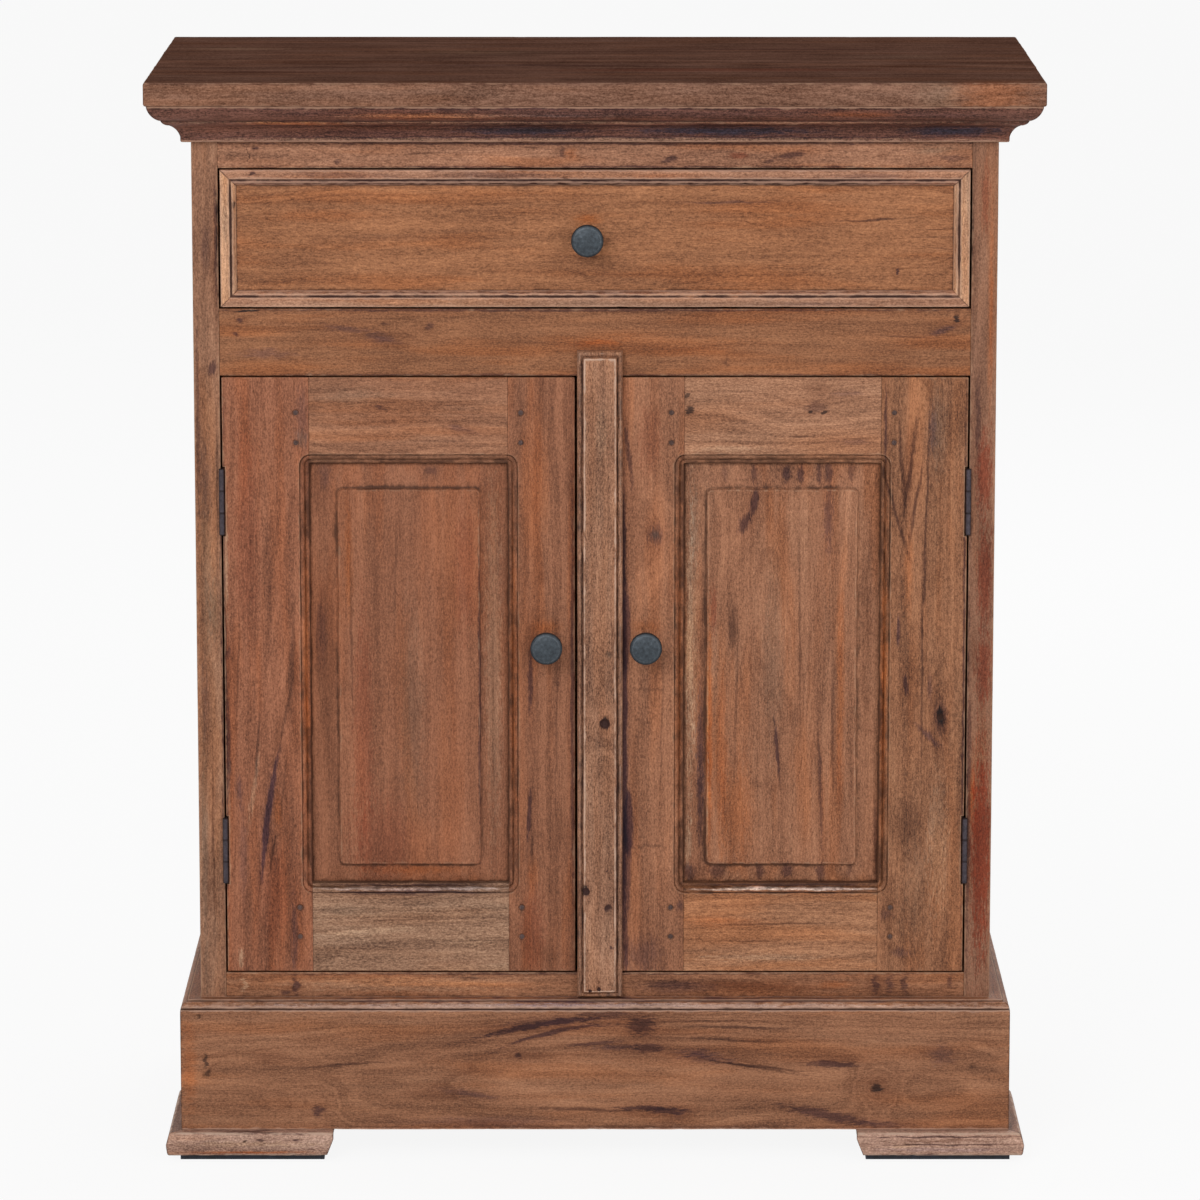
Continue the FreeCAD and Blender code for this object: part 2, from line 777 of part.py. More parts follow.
def cover_strip():
    """A moulded strip with a raised face, its ends worked like its sides."""
    x0 = meeting_right
    x1 = x0 + strip_width
    z0 = ledge_z + strip_ledge_gap
    z1 = middle_rail_z + strip_lap_above
    base_front = door_face_y - strip_base_thickness
    base = block(x0, x1, base_front, door_face_y, z0, z1)
    front_edges = [edge for edge in base.Edges
                   if edge.BoundBox.YMax < base_front + overrun / 2]
    base = base.makeFillet(strip_base_radius, front_edges)
    m = strip_face_margin
    q = strip_quirk_width
    face_front = base_front - strip_face_rise
    ring = block(x0 + m - q, x1 - m + q, base_front - overrun, base_front + strip_quirk_depth,
                 z0 + m - q, z1 - m + q)
    face = block(x0 + m, x1 - m, face_front, base_front + strip_quirk_depth, z0 + m, z1 - m)
    face_edges = [edge for edge in face.Edges
                  if edge.BoundBox.YMax < face_front + overrun / 2]
    face = face.makeFillet(strip_face_bevel, face_edges)
    return base.cut(ring).fuse(face).removeSplitter()


# Drawer

def drawer_moulding(length, place, turn):
    """One mitred stick of the frame round the drawer front.

    It is made lying along X with its outer edge at z 0, then turned and placed.
    """
    band = mould_band_width
    quirk = band + mould_quirk_width
    bead_mid = (quirk + mould_width) / 2

    def at(inward, deep):
        return Vector(-length / 2, deep - mould_thickness, inward)

    outline = [at(0, 0), at(band, 0), at(band, mould_quirk_depth),
               at(quirk, mould_quirk_depth + mould_bead_drop / 2),
               (at(bead_mid, mould_bead_drop), at(mould_width, mould_quirk_depth
                                                  + mould_bead_drop)),
               at(mould_width, mould_thickness), at(0, mould_thickness)]
    stick = prism(outline, Vector(length, 0, 0))
    stick = stick.cut(beyond(Vector(length / 2, 0, 0), Vector(1, 0, 1)))
    stick = stick.cut(beyond(Vector(-length / 2, 0, 0), Vector(-1, 0, 1)))
    stick.rotate(Vector(0, 0, 0), Vector(0, 1, 0), turn)
    stick.translate(place)
    return stick


def drawer():
    """The pieces of the drawer, by node name."""
    half = half_opening - drawer_side_gap
    z0 = drawer_z + drawer_bottom_gap
    z1 = top_rail_z - drawer_top_gap
    front_y = face_y + mould_thickness
    inside_y = front_y + drawer_front_thickness
    rear = back_boards_y - drawer_space_behind
    outer = half_opening - drawer_side_clearance
    inner = outer - drawer_side_thickness
    side_z = drawer_z + drawer_running_gap
    side_top = side_z + drawer_side_height
    bottom_z = side_z + drawer_bottom_height
    groove_z = bottom_z + drawer_bottom_thickness
    knob_z = (z0 + z1) / 2
    front = block(-half, half, front_y, inside_y, z0, z1)
    groove = block(-inner - drawer_groove_depth, inner + drawer_groove_depth,
                   inside_y - drawer_groove_depth, rear + overrun,
                   bottom_z - glue_clearance, groove_z + glue_clearance)
    right_side = block(inner, outer, inside_y - drawer_lap, rear, side_z, side_top)
    right_side = right_side.cut(block(0, outer + overrun, inside_y - drawer_lap - overrun,
                                      inside_y, side_z - overrun, z0 + overrun))
    notch = block(inner - glue_clearance, outer + glue_clearance,
                  inside_y - drawer_lap - glue_clearance, inside_y + overrun,
                  z0 + overrun - glue_clearance, side_top + glue_clearance)
    tools = [groove, notch, mirrored(notch),
             knob_hole(drawer_knob_from_centre, knob_z, front_y, drawer_front_thickness)]
    right_side = right_side.cut(groove)
    reach_x = inner + drawer_groove_depth - glue_clearance
    bottom = block(-reach_x, reach_x, inside_y - drawer_groove_depth + glue_clearance,
                   rear, bottom_z, groove_z)
    back = block(-inner, inner, rear - drawer_side_thickness, rear, groove_z, side_top)
    place_y = front_y
    middle_z = (z0 + z1) / 2
    sticks = [drawer_moulding(2 * half, Vector(0, place_y, z0), 0),
              drawer_moulding(2 * half, Vector(0, place_y, z1), 180),
              drawer_moulding(z1 - z0, Vector(-half, place_y, middle_z), 90),
              drawer_moulding(z1 - z0, Vector(half, place_y, middle_z), -90)]
    return {"drawer_front": [cut_all(front, tools)],
            "drawer_mouldings": sticks,
            "drawer_right_side": [right_side],
            "drawer_left_side": [mirrored(right_side)],
            "drawer_back": [back],
            "drawer_bottom": [bottom],
            "drawer_knob": knob(drawer_knob_from_centre, knob_z, front_y,
                                drawer_front_thickness)}


def drawer_supports():
    """Runners under the drawer sides, kickers over them, and rear stops."""
    runner = block(half_opening - runner_width, half_opening, rail_back_y, back_boards_y,
                   drawer_z - runner_height, drawer_z)
    kicker = block(half_opening - kicker_width, half_opening, rail_back_y,
                   back_boards_y - rear_rail_thickness, top_rail_z, top_rail_z + kicker_height)
    stop = block(half_opening - runner_width, half_opening,
                 back_boards_y - drawer_space_behind + stop_seat, back_boards_y,
                 drawer_z, drawer_z + stop_height)
    return {"drawer_runners": [runner, mirrored(runner)],
            "drawer_kickers": [kicker, mirrored(kicker)],
            "drawer_stops": [stop, mirrored(stop)]}


# Carcass

def right_side_frame(mortises, hinge_tools):
    """The right-hand side frame, by short name."""
    x0 = half_opening
    x1 = half_body
    front_in = face_y + side_stile_width
    rear_in = rear_y - side_stile_width
    rail_low = cupboard_z - bottom_rail_height
    lower_top = rail_low + side_bottom_rail_height
    upper_low = top_z - side_top_rail_height
    middle_x = (x0 + x1) / 2

    def side_rail(z0, z1, clearance):
        body = block(x0, x1, front_in, rear_in, z0, z1)
        half = rail_tenon_thickness / 2 + clearance
        tenon = block(middle_x - half, middle_x + half,
                      front_in - rail_tenon_length - clearance,
                      rear_in + rail_tenon_length + clearance,
                      z0 + rail_tenon_shoulder - clearance,
                      z1 - rail_tenon_shoulder + clearance)
        return body, tenon

    groove_out = x1 - side_panel_recess - panel_bevel_rise - panel_field_step
    groove_in = groove_out - panel_tongue_thickness
    groove = block(groove_in - panel_fit, groove_out + panel_fit,
                   front_in - panel_groove_depth, rear_in + panel_groove_depth,
                   lower_top - panel_groove_depth, upper_low + panel_groove_depth)
    lower = fused(list(side_rail(rail_low, lower_top, 0))).cut(groove)
    upper = fused(list(side_rail(upper_low, top_z, 0))).cut(groove)
    side_mortises = [side_rail(rail_low, lower_top, glue_clearance)[1],
                     side_rail(upper_low, top_z, glue_clearance)[1]]
    rebate = block(x0 - overrun, x0 + back_rebate_width, back_boards_y, rear_y + overrun,
                   rail_low, top_z + overrun)
    front_stile = block(x0, x1, face_y, front_in, plinth_z, top_z)
    rear_stile = block(x0, x1, rear_in, rear_y, plinth_z, top_z)
    front_stile = cut_all(front_stile, [groove] + side_mortises + mortises + hinge_tools)
    rear_stile = cut_all(rear_stile, [groove, rebate] + side_mortises + mortises)
    sight = (front_in, rear_in, lower_top, upper_low)
    # The panel is made facing forward, then turned to face right
    panel = raised_panel(sight, side_panel_bevel, side_panel_bevel, side_panel_bevel, 0)
    panel.rotate(Vector(0, 0, 0), Vector(0, 0, 1), 90)
    panel.translate(Vector(groove_out, 0, 0))
    return {"front_stile": [front_stile], "rear_stile": [rear_stile],
            "side_rails": [lower, upper], "side_panel": [panel]}


def shelf_pins(shelf_bottom):
    """Four round pins standing in the side stiles."""
    radius = shelf_pin_diameter / 2
    pins = []
    for y in (face_y + shelf_setback + shelf_pin_from_shelf_front,
              rear_y - shelf_pin_from_back):
        start = Vector(half_opening + shelf_pin_depth, y, shelf_bottom - radius)
        right = rod(start, Vector(-1, 0, 0), radius, shelf_pin_length)
        pins += [right, mirrored(right)]
    return pins


def carcass():
    """The fixed pieces of the body, by node name."""
    top_rail_shape, top_mortise = frame_rail(face_y, rail_back_y, top_rail_z, top_z)
    middle_shape, middle_mortise = frame_rail(face_y, rail_back_y, middle_rail_z, drawer_z)
    bottom_low = cupboard_z - bottom_rail_height
    bottom_shape, bottom_mortise = frame_rail(face_y, rail_back_y, bottom_low, cupboard_z)
    rear_front_y = back_boards_y - rear_rail_thickness
    floor_low = cupboard_z - floor_thickness
    rear_low, rear_low_mortise = frame_rail(rear_front_y, back_boards_y,
                                            floor_low - rear_rail_height, floor_low)
    rear_high, rear_high_mortise = frame_rail(rear_front_y, back_boards_y,
                                              top_z - rear_rail_height, top_z)
    mortises = [top_mortise, middle_mortise, bottom_mortise, rear_low_mortise,
                rear_high_mortise]
    shelf_z = cupboard_z + shelf_height_over_floor
    pins = shelf_pins(shelf_z - shelf_pin_seat)
    pin_holes = []
    for pin in pins:
        box = pin.BoundBox
        centre = Vector(box.XMin - overrun, (box.YMin + box.YMax) / 2, (box.ZMin + box.ZMax) / 2)
        hole = rod(centre, Vector(1, 0, 0), shelf_pin_diameter / 2 + glue_clearance,
                   box.XLength + overrun + glue_clearance)
        pin_holes.append(hole)
    hinge_tools = hinge_relief_tools(hinge_axis_x) + leaf_mortises(hinge_axis_x, 1)
    right = right_side_frame(mortises + pin_holes, hinge_tools)
    nodes = {}
    for name, shapes in right.items():
        nodes["right_" + name] = shapes
        nodes["left_" + name] = [mirrored(shape) for shape in shapes]
    nodes["front_top_rail"] = [top_rail_shape]
    nodes["front_middle_rail"] = [middle_shape]
    nodes["front_bottom_rail"] = [bottom_shape]
    nodes["rear_rails"] = [rear_low, rear_high]
    nodes["shelf_pins"] = pins
    width = 2 * (half_opening + back_rebate_width - glue_clearance)
    board = width / back_board_count
    nodes["back_boards"] = [
        block(-width / 2 + index * board + back_board_gap / 2,
              -width / 2 + (index + 1) * board - back_board_gap / 2,
              back_boards_y, rear_y, bottom_low, top_z)
        for index in range(back_board_count)]
    inner = half_opening - floor_clearance
    nodes["cupboard_floor"] = [block(-inner, inner, rail_back_y, back_boards_y,
                                     floor_low, cupboard_z)]
    side_batten = block(half_opening - batten_size, half_opening, rail_back_y,
                        rear_front_y, floor_low - batten_size, floor_low)
    front_batten = block(-half_opening + batten_size, half_opening - batten_size,
                         rail_back_y, rail_back_y + batten_size,
                         floor_low - batten_size, floor_low)
    nodes["floor_battens"] = [side_batten, mirrored(side_batten), front_batten]
    shelf_side = half_opening - shelf_clearance
    nodes["shelf"] = [block(-shelf_side, shelf_side, face_y + shelf_setback,
                            back_boards_y - shelf_clearance, shelf_z,
                            shelf_z + shelf_thickness)]
    return nodes


def door_stops():
    """Blocks under the middle rail that the doors close against."""
    y0 = door_back_y + door_stop_seat
    z1 = drawer_z - runner_height
    stops = []
    for centre in (meeting_left - door_stop_setback, meeting_right + door_stop_setback):
        stem = block(centre - door_stop_length / 2, centre + door_stop_length / 2,
                     rail_back_y, rail_back_y + door_stop_thickness,
                     middle_rail_z - door_stop_drop, drawer_z - rail_tenon_shoulder)
        lip = block(centre - door_stop_length / 2, centre + door_stop_length / 2,
                    y0, rail_back_y, middle_rail_z - door_stop_drop,
                    middle_rail_z - door_top_gap)
        stops.append(fused([stem, lip]))
    return stops


def hinge_pins():
    """One pin for each of the four hinges."""
    pins = []
    for axis_x in (-hinge_axis_x, hinge_axis_x):
        for z0 in (lower_hinge_z, upper_hinge_z):
            pins.append(rod(Vector(axis_x, hinge_axis_y, z0), Vector(0, 0, 1),
                            hinge_pin_diameter / 2, hinge_length))
    return pins


def cabinet():
    """Every node of the cupboard with its solids."""
    nodes = {"top_boards": top_boards()}
    nodes["cornice_front"] = [mitred_front(cornice_outline, top_z)]
    right_cornice = mitred_right(cornice_outline, top_z)
    nodes["cornice_right"] = [right_cornice]
    nodes["cornice_left"] = [mirrored(right_cornice)]
    nodes.update(carcass())
    nodes["plinth_front"] = [mitred_front(plinth_outline, ledge_z)]
    right_plinth = mitred_right(plinth_outline, ledge_z)
    nodes["plinth_right"] = [right_plinth]
    nodes["plinth_left"] = [mirrored(right_plinth)]
    for name, shapes in (("front", right_front_foot()), ("rear", right_rear_foot())):
        nodes["foot_right_" + name] = shapes
        nodes["foot_left_" + name] = [mirrored(shape) for shape in shapes]
    pads = right_foot_pads()
    nodes["foot_pads"] = pads + [mirrored(pad) for pad in pads]
    nodes["corner_blocks"] = corner_blocks()
    nodes.update(drawer_supports())
    nodes["door_stops"] = door_stops()
    nodes["hinge_frame_leaves"] = (hinge_set(-hinge_axis_x, -1, (0, 2))
                                   + hinge_set(hinge_axis_x, 1, (0, 2)))
    nodes["hinge_pins"] = hinge_pins()
    nodes.update(drawer())
    left = door(-hinge_edge, meeting_left, hinge_stile_width, left_lock_stile_width,
                left_panel_side_bevel, True, meeting_left - left_knob_from_lock_edge)
    right = door(meeting_right, hinge_edge, right_lock_stile_width, hinge_stile_width,
                 right_panel_side_bevel, False, meeting_right + right_knob_from_lock_edge)
    for name, shapes in left.items():
        nodes["left_door_" + name] = shapes
    for name, shapes in right.items():
        nodes["right_door_" + name] = shapes
    nodes["cover_strip"] = [cover_strip()]
    return nodes


os.makedirs("parts", exist_ok=True)
for node, solids in cabinet().items():
    group = solids[0] if len(solids) == 1 else Part.makeCompound(solids)
    group.exportStep("parts/" + node + ".step")
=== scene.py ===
"""Looks of a storage cupboard in reclaimed wood, dressed round its fixed solids.

One wide drawer stands over a pair of panelled doors, under a moulded cornice and a
dark top, on a plinth with low feet. Shapes are worked out in millimetres, in the frame
of the solids, and turned into metres when a mesh is made.
"""
import logging
import math
from collections.abc import Callable, Sequence
from dataclasses import dataclass, field
from enum import Enum

import bpy
import numpy as np
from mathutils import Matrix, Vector


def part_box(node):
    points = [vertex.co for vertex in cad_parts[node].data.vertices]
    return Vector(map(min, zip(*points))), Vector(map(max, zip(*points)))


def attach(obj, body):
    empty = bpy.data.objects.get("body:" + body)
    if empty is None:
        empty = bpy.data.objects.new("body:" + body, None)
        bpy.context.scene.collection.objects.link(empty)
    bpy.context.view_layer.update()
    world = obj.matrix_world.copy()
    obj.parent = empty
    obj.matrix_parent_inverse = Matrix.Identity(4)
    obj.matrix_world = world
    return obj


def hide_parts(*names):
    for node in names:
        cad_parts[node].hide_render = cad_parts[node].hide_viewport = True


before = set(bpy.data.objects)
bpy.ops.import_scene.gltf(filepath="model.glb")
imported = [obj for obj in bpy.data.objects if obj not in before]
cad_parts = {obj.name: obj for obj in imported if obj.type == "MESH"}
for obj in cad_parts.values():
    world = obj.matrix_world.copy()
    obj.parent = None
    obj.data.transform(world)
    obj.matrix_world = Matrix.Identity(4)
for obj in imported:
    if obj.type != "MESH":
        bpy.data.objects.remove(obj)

LOG = logging.getLogger("cupboard")
MM = 0.001
Array = np.ndarray
Points = np.ndarray
Pair = tuple[float, float]
Triple = tuple[float, float, float]
Four = tuple[float, float, float, float]
Colour = Triple
Node = bpy.types.Node
Socket = bpy.types.NodeSocket
Material = bpy.types.Material


# Noise and small sums

def lattice_noise(points: Points, seed: int) -> Array:
    """Smooth noise from 0 to 1.

    Each whole-number corner has a number hashed from its place. A point takes the mean
    of its eight corners, weighted along each axis by 3t^2 - 2t^3 of its share t.

    Args:
        points: Places, one row each.
        seed: Picks one noise from many.

    Returns:
        One value for each place.
    """
    cell = np.floor(points).astype(np.int64)
    share = points - cell
    share = share * share * (3.0 - 2.0 * share)
    total = np.zeros(len(points))
    for corner in np.ndindex(2, 2, 2):
        at = cell + np.array(corner)
        key = at[:, 0] * 374761393 + at[:, 1] * 668265263 + at[:, 2] * 1442695041
        key = key + seed * 97463477
        key = (key ^ (key >> 13)) * 1274126177
        key = (key ^ (key >> 16)) & 0xFFFFFF
        weight = np.prod(np.where(np.array(corner) == 1, share, 1.0 - share), axis=1)
        total += weight * key / 0xFFFFFF
    return total


def wander(points: Points, size: float | Sequence[float], seed: int,
           octaves: int = 3) -> Array:
    """Layered noise from -1 to 1: each layer is half as large and half as strong.

    Args:
        points: Places in mm.
        size: Size of the largest lumps, or one for each axis, in mm.
        seed: Picks one noise from many.
        octaves: How many layers are added.

    Returns:
        One value for each place.
    """
    total = np.zeros(len(points))
    strength = 1.0
    whole = 0.0
    for octave in range(octaves):
        total += strength * (lattice_noise(points / np.array(size) * 2 ** octave + 17.3,
                                           seed + octave) - 0.5)
        whole += strength * 0.5
        strength *= 0.5
    return total / whole


def eased(value: Array, low: float, high: float) -> Array:
    """0 below low, 1 above high, and a smooth S between."""
    share = np.clip((value - low) / (high - low), 0.0, 1.0)
    return share * share * (3.0 - 2.0 * share)


def box_distance(x: Array, z: Array, box: Sequence[float], radius: float) -> Array:
    """Distance from a rectangle with rounded corners, less than 0 inside it.

    The length of the part of the point beyond the rectangle shrunk by the radius, plus
    the larger negative side distance, less the radius.

    Args:
        x: Places across.
        z: Places up.
        box: x0, x1, z0 and z1 of the rectangle.
        radius: Radius of its corners.

    Returns:
        One distance for each place.
    """
    over_x = np.abs(x - (box[0] + box[1]) / 2) - (box[1] - box[0]) / 2 + radius
    over_z = np.abs(z - (box[2] + box[3]) / 2) - (box[3] - box[2]) / 2 + radius
    outside = np.hypot(np.maximum(over_x, 0), np.maximum(over_z, 0))
    return outside + np.minimum(np.maximum(over_x, over_z), 0) - radius


def on_face(x: Array, z: Array) -> Points:
    """Places on a face, for its noises."""
    return np.stack([x, np.zeros(len(x)), z], 1)


def arc(start: Pair, centre: Pair, end: Pair, count: int = 7) -> list[Pair]:
    """Points of a quarter ellipse: centre + (start - centre) cos t + (end - centre) sin t.

    Args:
        start: Where it starts.
        centre: The middle of the ellipse.
        end: Where it ends.
        count: How many points.

    Returns:
        The points in order.
    """
    turn = np.linspace(0.0, math.pi / 2, count)[:, None]
    middle = np.array(centre)
    run = (middle + (np.array(start) - middle) * np.cos(turn)
           + (np.array(end) - middle) * np.sin(turn))
    return [tuple(row) for row in run]


def bowed(start: Pair, through: Pair, end: Pair, count: int = 7) -> list[Pair]:
    """A bow through a middle point: (1-t)^2 a + 2t(1-t) (2m - (a+b)/2) + t^2 b.

    Args:
        start: Where it starts.
        through: Where its middle lies.
        end: Where it ends.
        count: How many points.

    Returns:
        The points in order.
    """
    t = np.linspace(0.0, 1.0, count)[:, None]
    first, middle, last = np.array(start), np.array(through), np.array(end)
    run = ((1 - t) ** 2 * first + 2 * t * (1 - t) * (2 * middle - (first + last) / 2)
           + t ** 2 * last)
    return [tuple(row) for row in run]


# Meshes

@dataclass
class Skin:
    """A closed surface in mm, with how far each point is worn, how dark with grime and painted
    shade, and how far shaded.
    """

    points: Points
    quads: Array
    others: list[list[int]] = field(default_factory=list)
    rim: Array | None = None
    hollow: Array | None = None
    shade: Array | None = None

    def __post_init__(self) -> None:
        """Gives every measure a value at every point."""
        for key in ("rim", "hollow", "shade"):
            if getattr(self, key) is None:
                setattr(self, key, np.zeros(len(self.points)))

    def outward(self) -> "Skin":
        """Turns the faces round if the volume they hold comes out negative.

        The volume is a sixth of the sum, over triangles, of a . (b x c).

        Returns:
            The skin itself.
        """
        p = self.points
        q = self.quads
        total = 0.0
        for a, b, c in ((0, 1, 2), (0, 2, 3)):
            total += np.sum(p[q[:, a]] * np.cross(p[q[:, b]], p[q[:, c]]))
        for face in self.others:
            ring = p[np.array(face)]
            total += np.sum(ring[0] * np.cross(ring[1:-1], ring[2:]))
        if total < 0:
            self.quads = q[:, ::-1]
            self.others = [face[::-1] for face in self.others]
        return self


def joined(skins: Sequence[Skin]) -> Skin:
    """One skin from several, each still closed by itself.

    Args:
        skins: The skins.

    Returns:
        A skin with all their points and faces.
    """
    start = 0
    quads = []
    others: list[list[int]] = []
    for skin in skins:
        quads.append(skin.quads + start)
        others += [[index + start for index in face] for face in skin.others]
        start += len(skin.points)
    return Skin(np.concatenate([s.points for s in skins]), np.concatenate(quads), others,
                np.concatenate([s.rim for s in skins]),
                np.concatenate([s.hollow for s in skins]),
                np.concatenate([s.shade for s in skins]))


def make_piece(name: str, skin: Skin, finish: Material, body: str, slot: str,
               *nodes: str, crease: float = 38.0) -> None:
    """Makes the object of a piece, rides it on its body and hides the nodes it stands for.

    Args:
        name: Name of the piece.
        skin: Its surface.
        finish: Its material.
        body: The body that it moves with.
        slot: The record's material slot; it is not used.
        nodes: The solids that it stands for.
        crease: Edges sharper than this many degrees stay sharp.
    """
    mesh = bpy.data.meshes.new(name)
    mesh.from_pydata((skin.points * MM).tolist(), [], skin.quads.tolist() + skin.others)
    for key in ("rim", "hollow", "shade"):
        layer = mesh.attributes.new(key, "FLOAT", "POINT")
        layer.data.foreach_set("value", getattr(skin, key).astype(np.float32))
    mesh.shade_smooth()
    mesh.set_sharp_from_angle(angle=math.radians(crease))
    mesh.materials.append(finish)
    made = bpy.data.objects.new(name, mesh)
    bpy.context.scene.collection.objects.link(made)
    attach(made, body)
    if nodes:
        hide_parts(*nodes)
    LOG.info("%s: %d points", name, len(skin.points))


def lines(low: float, high: float, step: float, extra: Sequence[float] = ()) -> Array:
    """Grid lines, close together near both ends and near the extra places.

    Args:
        low: First line.
        high: Last line.
        step: Widest space between lines.
        extra: Places that get a line of their own.

    Returns:
        The places of the lines, in order.
    """
    fringe = np.array([0.0, 0.35, 0.8, 1.4, 2.2, 3.4])
    fringe = fringe[fringe < (high - low) / 2]
    every = np.concatenate([np.linspace(low, high, max(2, round((high - low) / step) + 1)),
                            low + fringe, high - fringe, np.asarray(extra, float)])
    every = np.unique(np.round(every[(every >= low) & (every <= high)], 3))
    apart = np.concatenate([[True], np.diff(every) > 0.09])
    every = every[apart]
    every[-1] = high
    return every


def round_lines(centres: Sequence[float], radius: float, step: float) -> list[float]:
    """Lines across each of several round or moulded places."""
    return [place for centre in centres
            for place in np.arange(centre - radius, centre + radius + step / 2, step)]


def box_skin(xs: Array, ys: Array, zs: Array) -> tuple[Points, Array]:
    """The six sides of a box as grids with shared borders, faces outward.

    Args:
        xs: Lines along X.
        ys: Lines along Y.
        zs: Lines along Z.

    Returns:
        Points, and four-cornered faces.
    """
    every = (xs, ys, zs)
    points = []
    quads = []
    start = 0
    for axis in range(3):
        u, v = (axis + 1) % 3, (axis + 2) % 3
        for at_end in (False, True):
            grid = np.empty((len(every[u]), len(every[v]), 3))
            grid[..., axis] = every[axis][-1 if at_end else 0]
            grid[..., u] = every[u][:, None]
            grid[..., v] = every[v][None, :]
            index = np.arange(grid[..., 0].size).reshape(grid.shape[:2]) + start
            face = np.stack([index[:-1, :-1], index[1:, :-1], index[1:, 1:],
                             index[:-1, 1:]], -1).reshape(-1, 4)
            quads.append(face if at_end else face[:, ::-1])
            points.append(grid.reshape(-1, 3))
            start += index.size
    stacked = np.concatenate(points)
    _, first, place = np.unique(np.round(stacked * 1000).astype(np.int64), axis=0,
                                return_index=True, return_inverse=True)
    return stacked[first], place.reshape(-1)[np.concatenate(quads)]


class Facing(Enum):
    """Which way a board's face looks: the rows that turn its own axes into the room's."""

    FRONT = ((1, 0, 0), (0, 1, 0), (0, 0, 1))
    RIGHT = ((0, -1, 0), (1, 0, 0), (0, 0, 1))
    LEFT = ((0, 1, 0), (-1, 0, 0), (0, 0, 1))
    BACK = ((-1, 0, 0), (0, -1, 0), (0, 0, 1))
    UP = ((1, 0, 0), (0, 0, 1), (0, -1, 0))

    def to_room(self, points: Points) -> Points:
        """Points in the board's own axes, turned into the room's."""
        return points @ np.array(self.value, float).T

    def to_board(self, points: Points) -> Points:
        """Points in the room's axes, turned into the board's own."""
        return points @ np.array(self.value, float)


@dataclass
class Relief:
    """How deep a face is worked at each point, how worn it is there, and how dark with grime
    and painted shade.
    """

    depth: Array
    rim: Array
    hollow: Array

    def over(self, other: "Relief") -> "Relief":
        """The deeper of two workings at each point."""
        return Relief(np.maximum(self.depth, other.depth), np.maximum(self.rim, other.rim),
                      np.maximum(self.hollow, other.hollow))


Worker = Callable[[Array, Array], Relief]


@dataclass(frozen=True)
class Dent:
    """A small hole or dent in a face: place, radius and depth in mm."""

    x: float
    z: float
    radius: float
    depth: float
    dark: float = 0.95

    def relief(self, x: Array, z: Array) -> Relief:
        """A bowl: the depth falls off as the S curve of the distance over the radius.

        Args:
            x: Places along X.
            z: Their heights.

        Returns:
            How deep and dark it is there.
        """
        away = np.hypot(x - self.x, z - self.z) / self.radius
        bowl = 1.0 - eased(away, 0.55, 1.1)
        return Relief(self.depth * bowl, np.zeros(len(x)),
                      self.dark * (1.0 - eased(away, 0.85, 1.35)))


@dataclass
class Board:
    """A planed board whose free borders are rubbed round by use.

    ease holds how far its borders are rounded, in the board's own axes: low and high
    side, then bottom and top. A border under half a millimetre is a tight joint.
    """

    low: Triple
    high: Triple
    seed: int
    ease: Four = (0.4, 0.4, 0.4, 0.4)
    facing: Facing = Facing.FRONT
    step: float = 6.0
    across: Sequence[float] = ()
    upward: Sequence[float] = ()
    workers: Sequence[Worker] = ()
    dents: Sequence[Dent] = ()
    sway: float = 0.15
    shaded_face: bool = False

    def skin(self) -> Skin:
        """The board's surface.

        A point of the box is drawn in to the box shrunk by the rounding radius, then out
        again by that radius along the same line. The face is pressed in by its workings,
        fading to nothing at the back.

        Returns:
            The skin in the room.
        """
        ends = self.facing.to_board(np.array([self.low, self.high], float))
        lo, hi = ends.min(0), ends.max(0)
        across = list(self.across)
        upward = list(self.upward)
        for dent in self.dents:
            across += round_lines([dent.x], dent.radius * 1.3, dent.radius / 4)
            upward += round_lines([dent.z], dent.radius * 1.3, dent.radius / 4)
        points, quads = box_skin(lines(lo[0], hi[0], self.step, across),
                                 lines(lo[1], hi[1], self.step),
                                 lines(lo[2], hi[2], self.step, upward))
        ease = np.array(self.ease)
        away = np.stack([points[:, 0] - lo[0], hi[0] - points[:, 0],
                         points[:, 2] - lo[2], hi[2] - points[:, 2]], 1)
        pull = np.exp(-away / 3.0) + 1e-9
        radius = (pull * ease).sum(1) / pull.sum(1)
        rub = wander(points, 38, self.seed)
        chip = eased(wander(points, 9, self.seed + 50, 2), 0.42, 0.85)
        radius = radius * (1.0 + 0.45 * rub) + 1.3 * chip * eased(radius, 0.5, 1.2)
        radius = np.clip(radius, 0.1, 0.45 * (hi - lo).min())[:, None]
        core = np.clip(points, lo + radius, hi - radius)
        out = points - core
        length = np.linalg.norm(out, axis=1, keepdims=True)
        points = core + out / np.maximum(length, 1e-9) * radius
        x, z = points[:, 0], points[:, 2]
        behind = points[:, 1] - lo[1]
        thick = hi[1] - lo[1]
        near_face = np.hypot(away, behind[:, None])
        near_back = np.hypot(away, (thick - behind)[:, None])
        free = np.clip((ease - 0.45) / 0.6, 0.0, 1.0)
        worn = free * np.exp(-np.minimum(near_face, near_back) / 1.5)
        tight = (ease < 0.5) * np.exp(-near_face / 0.7) * 0.8
        relief = Relief(np.zeros(len(x)), worn.max(1), tight.max(1))
        for worker in self.workers:
            relief = relief.over(worker(x, z))
        for dent in self.dents:
            relief = relief.over(dent.relief(x, z))
        wave = self.sway * (1.0 + wander(points, 70, self.seed + 9, 2)) / 2
        fade = 1.0 - behind / thick
        points[:, 1] += (relief.depth + wave) * fade
        shade = eased(-behind, -3.0, -0.8) if self.shaded_face else np.zeros(len(x))
        patchy = np.clip(0.85 + 0.5 * wander(points, 20, self.seed + 70), 0, 1.1)
        return Skin(self.facing.to_room(points), quads, [], relief.rim,
                    relief.hollow * fade * patchy, shade)


